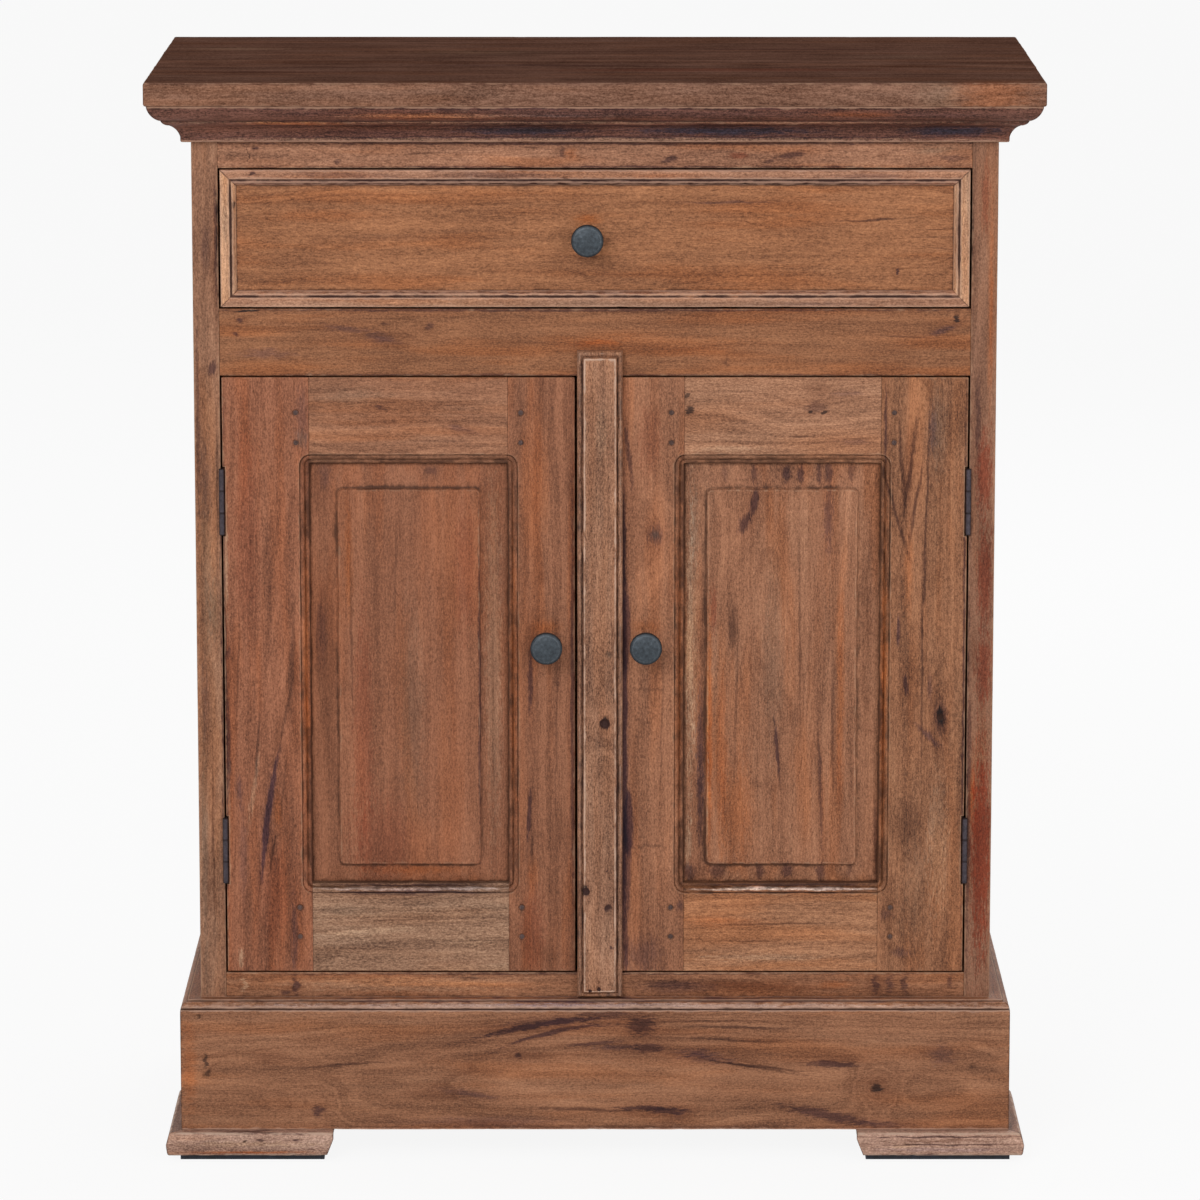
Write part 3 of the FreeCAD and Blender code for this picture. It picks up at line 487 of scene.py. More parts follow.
@dataclass(frozen=True)
class Run:
    """The line that a moulding's section travels along, in mm.

    A point of the section that lies out by a and down by b, at share t of the run, is at
    (1 - t)(start + a start_slide) + t (end + a end_slide) + b deep. The slides make the
    mitres. An undercut moves the start that far along the run, growing with b over
    cut_down.
    """

    start: Triple
    end: Triple
    start_slide: Triple
    end_slide: Triple
    deep: Triple = (0.0, 0.0, -1.0)
    undercut: float = 0.0
    cut_down: Pair = (6.0, 22.5)

    def length(self) -> float:
        """Length of the run before its slides."""
        return float(np.linalg.norm(np.subtract(self.end, self.start)))

    def place(self, out: Array, down: Array, share: Array) -> Points:
        """Places points of the section at their shares of the run.

        Args:
            out: How far out from the run's line.
            down: How far down from it.
            share: How far along, from 0 to 1.

        Returns:
            Places in the room.
        """
        first, last = self.cut_down
        cut = self.undercut * np.clip((down - first) / (last - first), 0, 1) / self.length()
        at = (cut + (1 - cut) * share)[:, None]
        start = np.array(self.start) + out[:, None] * np.array(self.start_slide)
        end = np.array(self.end) + out[:, None] * np.array(self.end_slide)
        return start + (end - start) * at + down[:, None] * np.array(self.deep)


@dataclass
class Moulding:
    """A section carried along a run, with worn arrises and grime in its quirks.

    The outline is a closed loop of (out, down) points in mm.
    """

    outline: Sequence[Pair]
    run: Run
    seed: int
    step: float = 4.0
    wear: float = 0.35
    dents: Sequence[Dent] = ()

    def dense_outline(self) -> tuple[Array, Array, Array, Array]:
        """The outline with more points, and its outward normals, arrises and hollows.

        A corner counts by its turn, over 60 degrees, times exp(-distance / 1.1 mm)
        along the outline.

        Returns:
            Points, normals, arris shares and hollow shares, in order round the loop.
        """
        loop = np.array(self.outline, float)
        area = np.sum(loop[:, 0] * np.roll(loop[:, 1], -1)
                      - np.roll(loop[:, 0], -1) * loop[:, 1])
        rows: list[Array] = []
        for start, end in zip(loop, np.roll(loop, -1, axis=0)):
            long = float(np.hypot(*(end - start)))
            shares = lines(0.0, long, self.step) / long if long > 1.5 else np.array([0.0, 1.0])
            rows.append(start + (end - start) * shares[:-1, None])
        dense = np.concatenate(rows)
        ahead = np.roll(dense, -1, axis=0) - dense
        back = dense - np.roll(dense, 1, axis=0)
        ahead /= np.linalg.norm(ahead, axis=1, keepdims=True)
        back /= np.linalg.norm(back, axis=1, keepdims=True)
        sign = 1.0 if area > 0 else -1.0
        turn = sign * np.arctan2(back[:, 0] * ahead[:, 1] - back[:, 1] * ahead[:, 0],
                                 (back * ahead).sum(1))
        mean = ahead + back
        normal = sign * np.stack([mean[:, 1], -mean[:, 0]], 1)
        normal /= np.linalg.norm(normal, axis=1, keepdims=True)
        apart = np.linalg.norm(dense[:, None] - dense[None], axis=2)
        near = np.exp(-apart / 1.1)
        arris = np.clip((near * np.maximum(turn, 0)[None]).sum(1) / math.radians(60), 0, 1)
        quirk = np.clip((near * np.maximum(-turn, 0)[None]).sum(1) / math.radians(60), 0, 1)
        return dense, normal, arris, quirk

    def skin(self) -> Skin:
        """The moulding's surface.

        Each point of the section is moved in along its normal by a noise, more at the
        arrises, and then placed along the run at its share of the length.

        Returns:
            The skin in the room.
        """
        dense, normal, arris, quirk = self.dense_outline()
        long = self.run.length()
        ends = np.array([0.6, 1.6, 3.0]) / long
        shares = np.unique(np.concatenate([np.linspace(0, 1, max(3, round(long / self.step))),
                                           ends, 1 - ends]))
        share, index = np.meshgrid(shares, np.arange(len(dense)), indexing="ij")
        flat = index.ravel()
        along = share.ravel()
        plain = self.run.place(dense[flat, 0], dense[flat, 1], along)
        rub = 0.5 + 0.5 * wander(plain, 45, self.seed)
        chip = eased(wander(plain, 10, self.seed + 31, 2), 0.38, 0.8)
        inward = self.wear * (0.35 * rub + arris[flat] * (0.9 * rub + 1.6 * chip))
        section = dense[flat] - normal[flat] * inward[:, None]
        section = np.maximum(section, np.array([dense[:, 0].min(), 0.0]))
        patchy = 0.8 + 0.4 * wander(plain, 24, self.seed + 5)
        hollow = quirk[flat] * patchy
        end = np.exp(-long * np.minimum(along, 1 - along) / 0.8)
        hollow = np.maximum(hollow, 0.8 * end)
        for dent in self.dents:
            relief = dent.relief(plain[:, 0], plain[:, 2])
            front = normal[flat, 0] > 0.5
            section[:, 0] -= relief.depth * front
            hollow = np.maximum(hollow, relief.hollow * front)
        points = self.run.place(section[:, 0], section[:, 1], along)
        across = len(dense)
        ring = np.arange(across)
        base = np.arange(len(shares) - 1)[:, None] * across
        quads = np.stack([base + ring, base + across + ring,
                          base + across + np.roll(ring, -1), base + np.roll(ring, -1)],
                         -1).reshape(-1, 4)
        last = (len(shares) - 1) * across
        caps = [ring[::-1].tolist(), (ring + last).tolist()]
        return Skin(points, quads, caps, arris[flat], hollow).outward()


def turned(profile: Sequence[Pair], centre: Pair, count: int, seed: int,
           hammer: float = 0.0) -> Skin:
    """A solid turned about a line along Y, closed at both poles.

    A point at radius r and depth y lies at (cx + r cos a, y, cz + r sin a), with y and r
    moved a little by noise where it is hammered.

    Args:
        profile: (radius, y) from the front pole to the back pole.
        centre: x and z of the axis.
        count: Points round the axis.
        seed: Seed of the hammer marks.
        hammer: Depth of the hammer marks in mm.

    Returns:
        The turned surface.
    """
    rows = np.array(profile, float)
    angle = np.arange(count) * 2 * math.pi / count
    body = rows[1:-1]
    radius = body[:, 0][:, None] * np.ones(count)
    depth = body[:, 1][:, None] * np.ones(count)
    x = radius * np.cos(angle)
    z = radius * np.sin(angle)
    points = np.stack([x, depth, z], -1).reshape(-1, 3)
    if hammer:
        beat = wander(points, 4.5, seed, 2)
        points[:, 1] += hammer * (0.5 + 0.5 * beat)
        points[:, [0, 2]] *= (1.0 - hammer / 12.0 * (0.5 + 0.5 * beat))[:, None]
    poles = np.array([[0.0, rows[0, 1] + hammer / 2, 0.0], [0.0, rows[-1, 1], 0.0]])
    points = np.concatenate([points, poles]) + np.array([centre[0], 0.0, centre[1]])
    ring = np.arange(count)
    base = np.arange(len(body) - 1)[:, None] * count
    quads = np.stack([base + ring, base + np.roll(ring, -1), base + count + np.roll(ring, -1),
                      base + count + ring], -1).reshape(-1, 4)
    first, last = len(points) - 2, len(points) - 1
    end = (len(body) - 1) * count
    tips = np.stack([ring, np.roll(ring, -1), np.full(count, first)], 1)
    tails = np.stack([ring + end, np.full(count, last), np.roll(ring, -1) + end], 1)
    others = tips[:, ::-1].tolist() + tails[:, ::-1].tolist()
    return Skin(points, quads, others).outward()


# Finishes

def linear(colour: Colour) -> Four:
    """A colour of 0 to 255 on screen, as the light it stands for."""
    parts = [c / 255 for c in colour]
    return (*(p / 12.92 if p <= 0.04045 else ((p + 0.055) / 1.055) ** 2.4 for p in parts), 1.0)


def tinted(colour: Colour, factor: Colour) -> Colour:
    """A colour times a factor for each of its parts."""
    return tuple(part * share for part, share in zip(colour, factor))


class Bench:
    """Adds and joins the nodes of one material, world or group."""

    def __init__(self, owner: Material | bpy.types.World | bpy.types.NodeTree) -> None:
        """Starts in an empty group, or empties the nodes of a material or a world.

        Args:
            owner: What the nodes are for.
        """
        self.owner = self.tree = owner
        if not isinstance(owner, bpy.types.NodeTree):
            owner.use_nodes = True
            self.tree = owner.node_tree
            self.tree.nodes.clear()

    def put(self, socket: Socket, value: object) -> None:
        """Joins a socket to another, or gives it a plain value.

        Args:
            socket: The socket.
            value: A socket or a plain value.
        """
        if isinstance(value, Socket):
            self.tree.links.new(value, socket)
        else:
            socket.default_value = value

    def node(self, kind: str, inputs: dict[str | int, object] | None = None,
             **settings: object) -> Node:
        """Adds a node.

        Args:
            kind: Its type.
            inputs: What its inputs are given, by name or number.
            settings: Its settings.

        Returns:
            The node.
        """
        made = self.tree.nodes.new(kind)
        for key, value in settings.items():
            setattr(made, key, value)
        for key, value in (inputs or {}).items():
            self.put(made.inputs[key], value)
        return made

    def sum(self, operation: str, *values: object) -> Socket:
        """A number worked out from one to three others."""
        return self.node("ShaderNodeMath", dict(enumerate(values)),
                         operation=operation).outputs[0]

    def vector(self, operation: str, *values: object) -> Socket:
        """A vector worked out from one to three others."""
        made = self.node("ShaderNodeVectorMath", dict(enumerate(values)), operation=operation)
        return made.outputs["Value" if operation == "LENGTH" else "Vector"]

    def place(self) -> Socket:
        """The place on the object, in mm."""
        where = self.node("ShaderNodeTexCoord").outputs["Object"]
        return self.vector("MULTIPLY", where, (1000.0, 1000.0, 1000.0))

    def split(self, vector: Socket) -> bpy.types.NodeOutputs:
        """The three parts of a vector."""
        return self.node("ShaderNodeSeparateXYZ", {0: vector}).outputs

    def noise(self, at: Socket, detail: float = 2.0, rough: float = 0.5,
              colour: bool = False) -> Socket:
        """Cloudy noise, or three at once as a colour.

        Args:
            at: The place over the size of the clouds.
            detail: How many finer layers there are.
            rough: How strong these are.
            colour: Whether it is a colour.

        Returns:
            The noise.
        """
        values = {"Vector": at, "Scale": 1.0, "Detail": detail, "Roughness": rough}
        return self.node("ShaderNodeTexNoise", values).outputs[1 if colour else 0]

    def row_noise(self, at: Socket) -> Socket:
        """Noise along a line."""
        values = {"W": at, "Scale": 1.0, "Detail": 3.0, "Roughness": 0.55}
        return self.node("ShaderNodeTexNoise", values, noise_dimensions="1D").outputs[0]

    def between(self, value: object, low: object, high: object) -> Socket:
        """0 below low, 1 above high, and a smooth S between.

        Args:
            value: The number.
            low: Where the S starts.
            high: Where it ends.

        Returns:
            The share.
        """
        values = {"Value": value, "From Min": low, "From Max": high}
        return self.node("ShaderNodeMapRange", values,
                         interpolation_type="SMOOTHSTEP").outputs[0]

    def blend(self, share: object, first: object, second: object,
              kind: str = "MIX") -> Socket:
        """One colour laid over another by a share."""
        return self.node("ShaderNodeMix", {0: share, 6: first, 7: second}, data_type="RGBA",
                         blend_type=kind).outputs[2]

    def stained(self, share: object, colour: Socket, factor: Sequence[float]) -> Socket:
        """A colour multiplied by a factor, by a share."""
        return self.blend(share, colour, (*factor[:3], 1.0), "MULTIPLY")

    def measure(self, name: str) -> Socket:
        """A measure that a skin carries at its points."""
        return self.node("ShaderNodeAttribute", attribute_name=name).outputs["Fac"]

    def ramp(self, share: Socket, stops: Sequence[tuple[float, Colour]]) -> Socket:
        """A colour picked along a row of colours.

        Args:
            share: Where to pick it, from 0 to 1.
            stops: Place and colour of each stop.

        Returns:
            The colour.
        """
        made = self.node("ShaderNodeValToRGB", {0: share})
        row = made.color_ramp.elements
        while len(row) < len(stops):
            row.new(0.5)
        for element, (position, colour) in zip(row, stops):
            element.position = position
            element.color = linear(colour)
        return made.outputs[0]

    def finish(self, colour: Socket, rough: Socket, height: Socket, depth: float,
               shader: dict[str, float]) -> Material:
        """Joins everything to the shader.

        Args:
            colour: The base colour.
            rough: The roughness.
            height: Height of the fine relief.
            depth: Depth of that relief in metres.
            shader: Plain values for the shader's own sockets.

        Returns:
            The finished material.
        """
        bump = self.node("ShaderNodeBump", {"Strength": 0.6, "Distance": depth,
                                            "Height": height})
        made = self.node("ShaderNodeBsdfPrincipled", {
            "Base Color": colour, "Roughness": rough, "Normal": bump.outputs[0], **shader})
        self.node("ShaderNodeOutputMaterial", {"Surface": made.outputs[0]})
        return self.owner


class Grain(Enum):
    """The axis that a board's grain runs along, and the one across its shown face."""

    ACROSS_FRONT = (0, 2)
    UP_FRONT = (2, 0)
    UP_SIDE = (2, 1)
    ACROSS_SIDE = (1, 2)
    ALONG_TOP = (0, 1)


class MarkKind(Enum):
    """Sorts of mark on the wood, painted highlight and shade among them: colour, softness of
    its border, and its raggedness.
    """

    DARK = ((74, 46, 45), 0.6, 0.9)
    PURPLE = ((96, 66, 62), 0.9, 1.0)
    CORE = ((38, 28, 28), 0.5, 0.8)
    VEIN = ((82, 50, 38), 0.8, 0.7)
    BROWN = ((104, 62, 42), 0.95, 0.8)
    PALE = ((190, 152, 122), 0.7, 1.3)
    RED = ((126, 52, 30), 0.7, 1.0)
    ORANGE = ((166, 92, 46), 0.95, 0.6)
    GREY = ((126, 100, 82), 0.95, 0.8)
    # A smooth dark band or line: stains, streaks and quirk lines on most boards, painted shade
    # on the drawer's top moulding.
    SHADE = ((70, 44, 52), 0.45, 0.3)
    SLATE = ((70, 66, 74), 0.9, 0.8)
    PINK = ((170, 138, 128), 0.6, 0.7)
    # A painted highlight, laid along the door beads that face up.
    PAINTED_HIGHLIGHT = ((240, 216, 206), 0.5, 0.6)

    def halo(self) -> float:
        """How strongly the wood round the mark is stained."""
        return 0.4 if self.name in ("DARK", "CORE", "PURPLE") else 0.0


@dataclass(frozen=True)
class Mark:
    """A knot, streak, stain, painted highlight or painted shade at a place on the shown face,
    in mm.

    long is its length along the grain, wide its width across it and share its strength.
    It leans by lean mm and bends by bow / 1000 mm for each mm, and each squared mm, along
    the grain, and pull bends the growth bands round it.
    """

    kind: MarkKind
    x: float
    z: float
    long: float
    wide: float
    share: float = 0.85
    lean: float = 0.0
    bow: float = 0.0
    pull: float = 0.0


Marks = dict[MarkKind, list[tuple[float, ...]]]


def mark_group() -> bpy.types.NodeTree:
    """The node group that works out where a mark lies.

    With u along the grain from the mark's centre and v across it, less lean * u and
    bow * u^2, the distance is the root of (u / half long)^2 + (v / half wide)^2, plus a
    noise. The mask is 1 inside and falls to 0 at distance 1. The pull is exp(-d^2) of
    the distance with both half sizes tripled.

    Returns:
        The group.
    """
    kept = bpy.data.node_groups.get("wood mark")
    if kept is not None:
        return kept
    group = bpy.data.node_groups.new("wood mark", "ShaderNodeTree")
    for way, names in (("INPUT", ("Along", "Across", "Ragged", "Centre Along", "Centre Across",
                                  "Half Long", "Half Wide", "Lean", "Bow", "Softness")),
                       ("OUTPUT", ("Mask", "Pull"))):
        for name in names:
            group.interface.new_socket(name=name, in_out=way, socket_type="NodeSocketFloat")
    bench = Bench(group)
    given = bench.node("NodeGroupInput").outputs
    u = bench.sum("SUBTRACT", given["Along"], given["Centre Along"])
    side = bench.sum("SUBTRACT", given["Across"], given["Centre Across"])
    slope = bench.sum("MULTIPLY_ADD", given["Bow"], u, given["Lean"])
    v = bench.sum("SUBTRACT", side, bench.sum("MULTIPLY", slope, u))
    along = bench.sum("DIVIDE", u, given["Half Long"])
    across = bench.sum("DIVIDE", v, given["Half Wide"])
    square = bench.sum("MULTIPLY_ADD", along, along, bench.sum("MULTIPLY", across, across))
    away = bench.sum("ADD", bench.sum("SQRT", square), given["Ragged"])
    inside = bench.sum("SUBTRACT", 1.0, away)
    bench.node("NodeGroupOutput", {
        "Mask": bench.between(inside, 0.0, given["Softness"]),
        "Pull": bench.sum("EXPONENT", bench.sum("MULTIPLY", square, -0.11))})
    return group


@dataclass(frozen=True)
class WoodFinish:
    """A waxed, worn board's finish, worked out from its place in the object.

    Sizes are in mm. ring is the spacing of the growth bands, pith the place of the
    tree's centre line, and bends how fast the bands close up along the grain.
    """

    name: str
    grain: Grain
    colour: Colour
    seed: float
    contrast: float = 1.0
    ring: float = 7.0
    bands: float = 0.5
    veins: float = 0.3
    pith: Triple = (0.0, 90.0, 0.0)
    bends: float = 0.05
    warm: float = 0.5
    grey: float = 0.35
    worn: float = 0.6
    worn_colour: Colour = (184, 143, 114)
    # grime and its colour follow the hollow measure: grime in joints, quirks and holes, and
    # painted shade in hinge notches, under the stickings and against the drawer's moulding.
    grime: float = 0.8
    grime_and_shade_colour: Colour = (58, 34, 24)
    fleck: float = 0.35
    rough: float = 0.52
    gloss: float = 0.16
    shaded: Colour | None = None
    marks: Marks = field(default_factory=dict)

    def cloud(self, bench: Bench, place: Socket, long: float, wide: float, shift: float,
              detail: float = 2.0, rough: float = 0.5, colour: bool = False) -> Socket:
        """Noise at the place over its size along and across the grain, moved by the seed.

        Args:
            bench: The material's bench.
            place: The place in mm.
            long: Size along the grain.
            wide: Size across it.
            shift: Keeps one noise apart from another.
            detail: How many finer layers there are.
            rough: How strong these are.
            colour: Whether it is three noises at once.

        Returns:
            The noise.
        """
        size = [1.0 / wide] * 3
        size[self.grain.value[0]] = 1.0 / long
        move = self.seed * 3.17 + shift
        at = bench.vector("MULTIPLY_ADD", place, tuple(size), (move, move * 0.7, -move))
        return bench.noise(at, detail, rough, colour)

    def ratio(self, colour: Colour) -> tuple[float, ...]:
        """What the plain wood is multiplied by to give another colour."""
        return tuple(a / b for a, b in zip(linear(colour), linear(self.colour)))

    def growth(self, bench: Bench, place: Socket, pulls: list[Socket]) -> Socket:
        """Growth bands: noise along the distance from the tree's bent centre line.

        Args:
            bench: The material's bench.
            place: The place in mm.
            pulls: What the knots add to the distance.

        Returns:
            The bands, from 0 to 1.
        """
        bent = self.cloud(bench, place, 240.0, 55.0, 1.0, 3.0, 0.5, True)
        bent = bench.vector("MULTIPLY_ADD", bent, (30.0,) * 3, place)
        scale = [1.0] * 3
        scale[self.grain.value[0]] = self.bends
        centre = tuple(part + 15.0 for part in self.pith)
        moved = bench.vector("SUBTRACT", bent, centre)
        far = bench.vector("LENGTH", bench.vector("MULTIPLY", moved, tuple(scale)))
        for pull in pulls:
            far = bench.sum("ADD", far, pull)
        return bench.row_noise(bench.sum("MULTIPLY_ADD", far, 1.0 / self.ring, self.seed))

    def marked(self, bench: Bench, place: Socket
               ) -> tuple[list[tuple[Mark, Socket, Socket]], list[Socket]]:
        """Where the marks lie, on a place that is frayed by two noises.

        Args:
            bench: The material's bench.
            place: The place in mm.

        Returns:
            Each mark with its share and its halo, and the pulls on the growth bands.
        """
        fray = self.cloud(bench, place, 26.0, 6.0, 5.0, 3.0, 0.6, True)
        fray = bench.split(bench.vector("MULTIPLY_ADD", fray, (12.0,) * 3, (-6.0,) * 3))
        parts = bench.split(place)
        first, second = self.grain.value
        along = bench.sum("ADD", parts[first], fray[0])
        across = bench.sum("MULTIPLY_ADD", fray[1], 0.35, parts[second])
        ragged = self.cloud(bench, place, 8.0, 1.6, 6.0, 3.0, 0.7)
        ragged = bench.sum("SUBTRACT", ragged, 0.5)
        found = []
        pulls = []
        for mark in (Mark(kind, *row) for kind, rows in self.marks.items() for row in rows):
            _, soft, frayed = mark.kind.value
            centre = (mark.z, mark.x) if first == 2 else (mark.x, mark.z)
            made = bench.node("ShaderNodeGroup", {
                "Along": along, "Across": across,
                "Ragged": bench.sum("MULTIPLY", ragged, frayed * 1.9),
                "Centre Along": centre[0], "Centre Across": centre[1],
                "Half Long": mark.long / 2, "Half Wide": mark.wide / 2,
                "Lean": mark.lean, "Bow": mark.bow / 1000, "Softness": soft,
            }, node_tree=mark_group()).outputs
            halo = bench.sum("MULTIPLY", bench.sum("POWER", made["Pull"], 4.0),
                             mark.share * mark.kind.halo())
            found.append((mark, bench.sum("MULTIPLY", made["Mask"], mark.share), halo))
            if mark.pull:
                pulls.append(bench.sum("MULTIPLY", made["Pull"], mark.pull))
        return found, pulls

    def figure(self, bench: Bench, place: Socket, rings: Socket) -> tuple[Socket, Socket]:
        """The tone of the bare wood, from 0 for deep to 1 for pale, and its fibres.

        Args:
            bench: The material's bench.
            place: The place in mm.
            rings: The growth bands.

        Returns:
            The weighted sum of six noises round 0.5, and the noise of the fibres.
        """
        fibre = self.cloud(bench, place, 22.0, 1.2, 2.0, 3.0, 0.65)
        stripe = self.cloud(bench, place, 320.0, 7.0, 3.0, 4.0, 0.6)
        cloud = self.cloud(bench, place, 90.0, 36.0, 4.0, 3.0)
        speck = self.cloud(bench, place, 3.2, 1.4, 4.5, 1.0)
        grit = self.cloud(bench, place, 1.5, 1.1, 5.5, 0.0)
        weights = ((rings, self.bands), (fibre, 0.5), (stripe, 0.55), (cloud, 0.55),
                   (speck, 0.65), (grit, 0.5))
        tone: object = 0.5 - self.contrast * sum(weight for _, weight in weights) / 2
        for part, weight in weights:
            tone = bench.sum("MULTIPLY_ADD", part, weight * self.contrast, tone)
        return tone, fibre

    def bare(self, bench: Bench, place: Socket, rings: Socket, tone: Socket) -> Socket:
        """The colour of the clean wood, with warm and grey drifts and thin dark veins.

        Args:
            bench: The material's bench.
            place: The place in mm.
            rings: The growth bands.
            tone: How pale the wood is.

        Returns:
            The colour.
        """
        stops = ((0.08, (0.6, 0.55, 0.55)), (0.36, (0.87, 0.85, 0.84)),
                 (0.55, (1.02, 1.02, 1.02)), (0.9, (1.24, 1.28, 1.3)))
        colour = bench.ramp(tone, [(at, tinted(self.colour, tint)) for at, tint in stops])
        glow = self.cloud(bench, place, 190.0, 20.0, 6.0, 3.0)
        glow = bench.sum("MULTIPLY", bench.between(glow, 0.46, 0.68), self.warm)
        colour = bench.stained(glow, colour, (1.12, 0.86, 0.6))
        dust = self.cloud(bench, place, 120.0, 15.0, 7.0, 4.0, 0.6)
        dust = bench.sum("MULTIPLY", bench.between(dust, 0.45, 0.7), self.grey)
        colour = bench.stained(dust, colour, (1.05, 1.14, 1.2))
        off = bench.sum("ABSOLUTE", bench.sum("SUBTRACT", rings, 0.47))
        vein = bench.sum("SUBTRACT", 1.0, bench.between(off, 0.0, 0.035))
        faint = self.cloud(bench, place, 70.0, 22.0, 7.5)
        vein = bench.sum("MULTIPLY", vein, bench.between(faint, 0.42, 0.62))
        vein = bench.sum("MULTIPLY", vein, self.veins)
        return bench.stained(vein, colour, (0.5, 0.42, 0.4))

    def make(self) -> Material:
        """Builds the material: clean wood, pores, marks, then wear, and grime with painted
        shade, over all.

        Returns:
            The finished wood.
        """
        bench = Bench(bpy.data.materials.new(self.name))
        place = bench.place()
        found, pulls = self.marked(bench, place)
        rings = self.growth(bench, place, pulls)
        tone, fibre = self.figure(bench, place, rings)
        colour = self.bare(bench, place, rings, tone)
        pore = bench.between(self.cloud(bench, place, 5.0, 0.8, 8.0), 0.56, 0.72)
        colour = bench.stained(bench.sum("MULTIPLY", pore, self.fleck), colour,
                               (0.4, 0.33, 0.3))
        for mark, share, halo in found:
            if mark.kind.halo():
                colour = bench.stained(halo, colour, (0.62, 0.5, 0.46))
            colour = bench.stained(share, colour, self.ratio(mark.kind.value[0]))
        if self.shaded is not None:
            colour = bench.stained(bench.measure("shade"), colour, self.ratio(self.shaded))
        patchy = self.cloud(bench, place, 13.0, 6.0, 9.0, 4.0, 0.65)
        patchy = bench.sum("SUBTRACT", patchy, 0.5)
        wear = bench.sum("MULTIPLY_ADD", patchy, 1.9, bench.measure("rim"))
        wear = bench.sum("MULTIPLY", bench.between(wear, 0.3, 0.9), self.worn)
        colour = bench.blend(wear, colour, linear(self.worn_colour))
        # The hollow measure darkens towards the grime colour: grime, and painted shade where a
        # piece puts it there.
        grime_and_shade = bench.sum("MULTIPLY_ADD", patchy, 1.5, bench.measure("hollow"))
        grime_and_shade = bench.sum("MULTIPLY", bench.between(grime_and_shade, 0.15, 0.9), self.grime)
        colour = bench.blend(grime_and_shade, colour, linear(self.grime_and_shade_colour))
        rough = bench.sum("MULTIPLY_ADD", fibre, 0.22, self.rough - 0.06)
        height = bench.sum("MULTIPLY_ADD", fibre, 0.8, bench.sum("MULTIPLY", patchy, 0.6))
        height = bench.sum("SUBTRACT", height, bench.sum("MULTIPLY", pore, 0.6))
        return bench.finish(colour, rough, height, 0.0007,
                            {"Specular IOR Level": self.gloss})


@dataclass(frozen=True)
class IronFinish:
    """Blackened, waxed iron with a cold sheen and rubbed high spots, a painted highlight and
    painted shade where a knob's rim and shade measures lie, and near-black painted shade in the
    gap at each given height.
    """

    name: str
    colour: Colour
    seed: float
    rubbed: Colour = (112, 118, 124)
    shaded_gap_heights: tuple[float, ...] = ()

    def make(self) -> Material:
        """Builds the material.

        Returns:
            The finished iron.
        """
        bench = Bench(bpy.data.materials.new(self.name))
        place = bench.place()
        coarse = bench.vector("MULTIPLY_ADD", place, (0.35,) * 3, (self.seed,) * 3)
        fine = bench.vector("MULTIPLY_ADD", place, (1.6,) * 3, (self.seed * 2,) * 3)
        beaten = bench.noise(coarse, 3.0, 0.6)
        specks = bench.noise(fine, 3.0, 0.6)
        colour = bench.ramp(beaten, ((0.3, tinted(self.colour, (0.72, 0.72, 0.74))),
                                     (0.55, self.colour),
                                     (0.78, tinted(self.colour, (1.25, 1.25, 1.25)))))
        # On a knob the rim measure adds rubbed iron and a painted highlight to the rubbed
        # spots.
        rubbed = bench.between(bench.sum("ADD", specks, bench.measure("rim")), 0.72, 1.3)
        colour = bench.blend(rubbed, colour, linear(self.rubbed))
        # The shade measure is painted shade on a knob's side.
        colour = bench.stained(bench.measure("shade"), colour, (0.3, 0.3, 0.32))
        rust = bench.sum("MULTIPLY", bench.between(specks, 0.62, 0.75), 0.35)
        colour = bench.blend(rust, colour, linear((78, 52, 38)))
        up = bench.split(place)[2]
        # Each height gets a near-black line: painted shade in a gap between the hinge's
        # knuckles.
        for gap in self.shaded_gap_heights:
            off = bench.sum("ABSOLUTE", bench.sum("SUBTRACT", up, gap))
            dark = bench.sum("SUBTRACT", 1.0, bench.between(off, 0.5, 1.3))
            colour = bench.blend(dark, colour, (0.02, 0.012, 0.014, 1.0))
        rough = bench.sum("MULTIPLY_ADD", specks, 0.3, 0.3)
        height = bench.sum("MULTIPLY_ADD", specks, 0.35, beaten)
        return bench.finish(colour, rough, height, 0.0005,
                            {"Metallic": 0.55, "Specular IOR Level": 0.5})


@dataclass(frozen=True)
class RubberFinish:
    """Dark, dusty rubber of the pads."""

    name: str
    colour: Colour

    def make(self) -> Material:
        """Builds the material.

        Returns:
            The finished rubber.
        """
        bench = Bench(bpy.data.materials.new(self.name))
        dust = bench.noise(bench.vector("MULTIPLY", bench.place(), (0.12,) * 3), 4.0, 0.6)
        colour = bench.ramp(dust, ((0.35, tinted(self.colour, (0.7, 0.7, 0.7))),
                                   (0.7, tinted(self.colour, (1.5, 1.5, 1.5)))))
        rough = bench.sum("MULTIPLY_ADD", dust, 0.3, 0.5)
        return bench.finish(colour, rough, dust, 0.0003, {"Specular IOR Level": 0.4})


# Sizes shared by several pieces, in mm

HALF_BODY = 369.5
HALF_OPENING = 345.5
FACE_Y = -174.5
REAR_Y = 210.5
RAIL_BACK_Y = -150.5
DOOR_FACE_Y = -175.0
DOOR_BACK_Y = -153.0
DOOR_Z = (177.0, 739.0)
DOOR_PANEL_Y = (-171.9, -158.5)
SIGHT_Z = (261.0, 658.0)
PEG_Z = (210.0, 238.0, 678.0, 706.0)
PEG_IN = 12.0
KNOB_Z = 489.0
HINGE_Z = (262.0, 592.0)
HINGE_LONG = 62.0
CORNICE_TOP = 993.0
PLINTH_Z = (28.5, 152.5)
RAIL_FOOT_Z = 105.5
TIGHT = 0.35
WHITE = (1.0, 1.0, 1.0, 1.0)


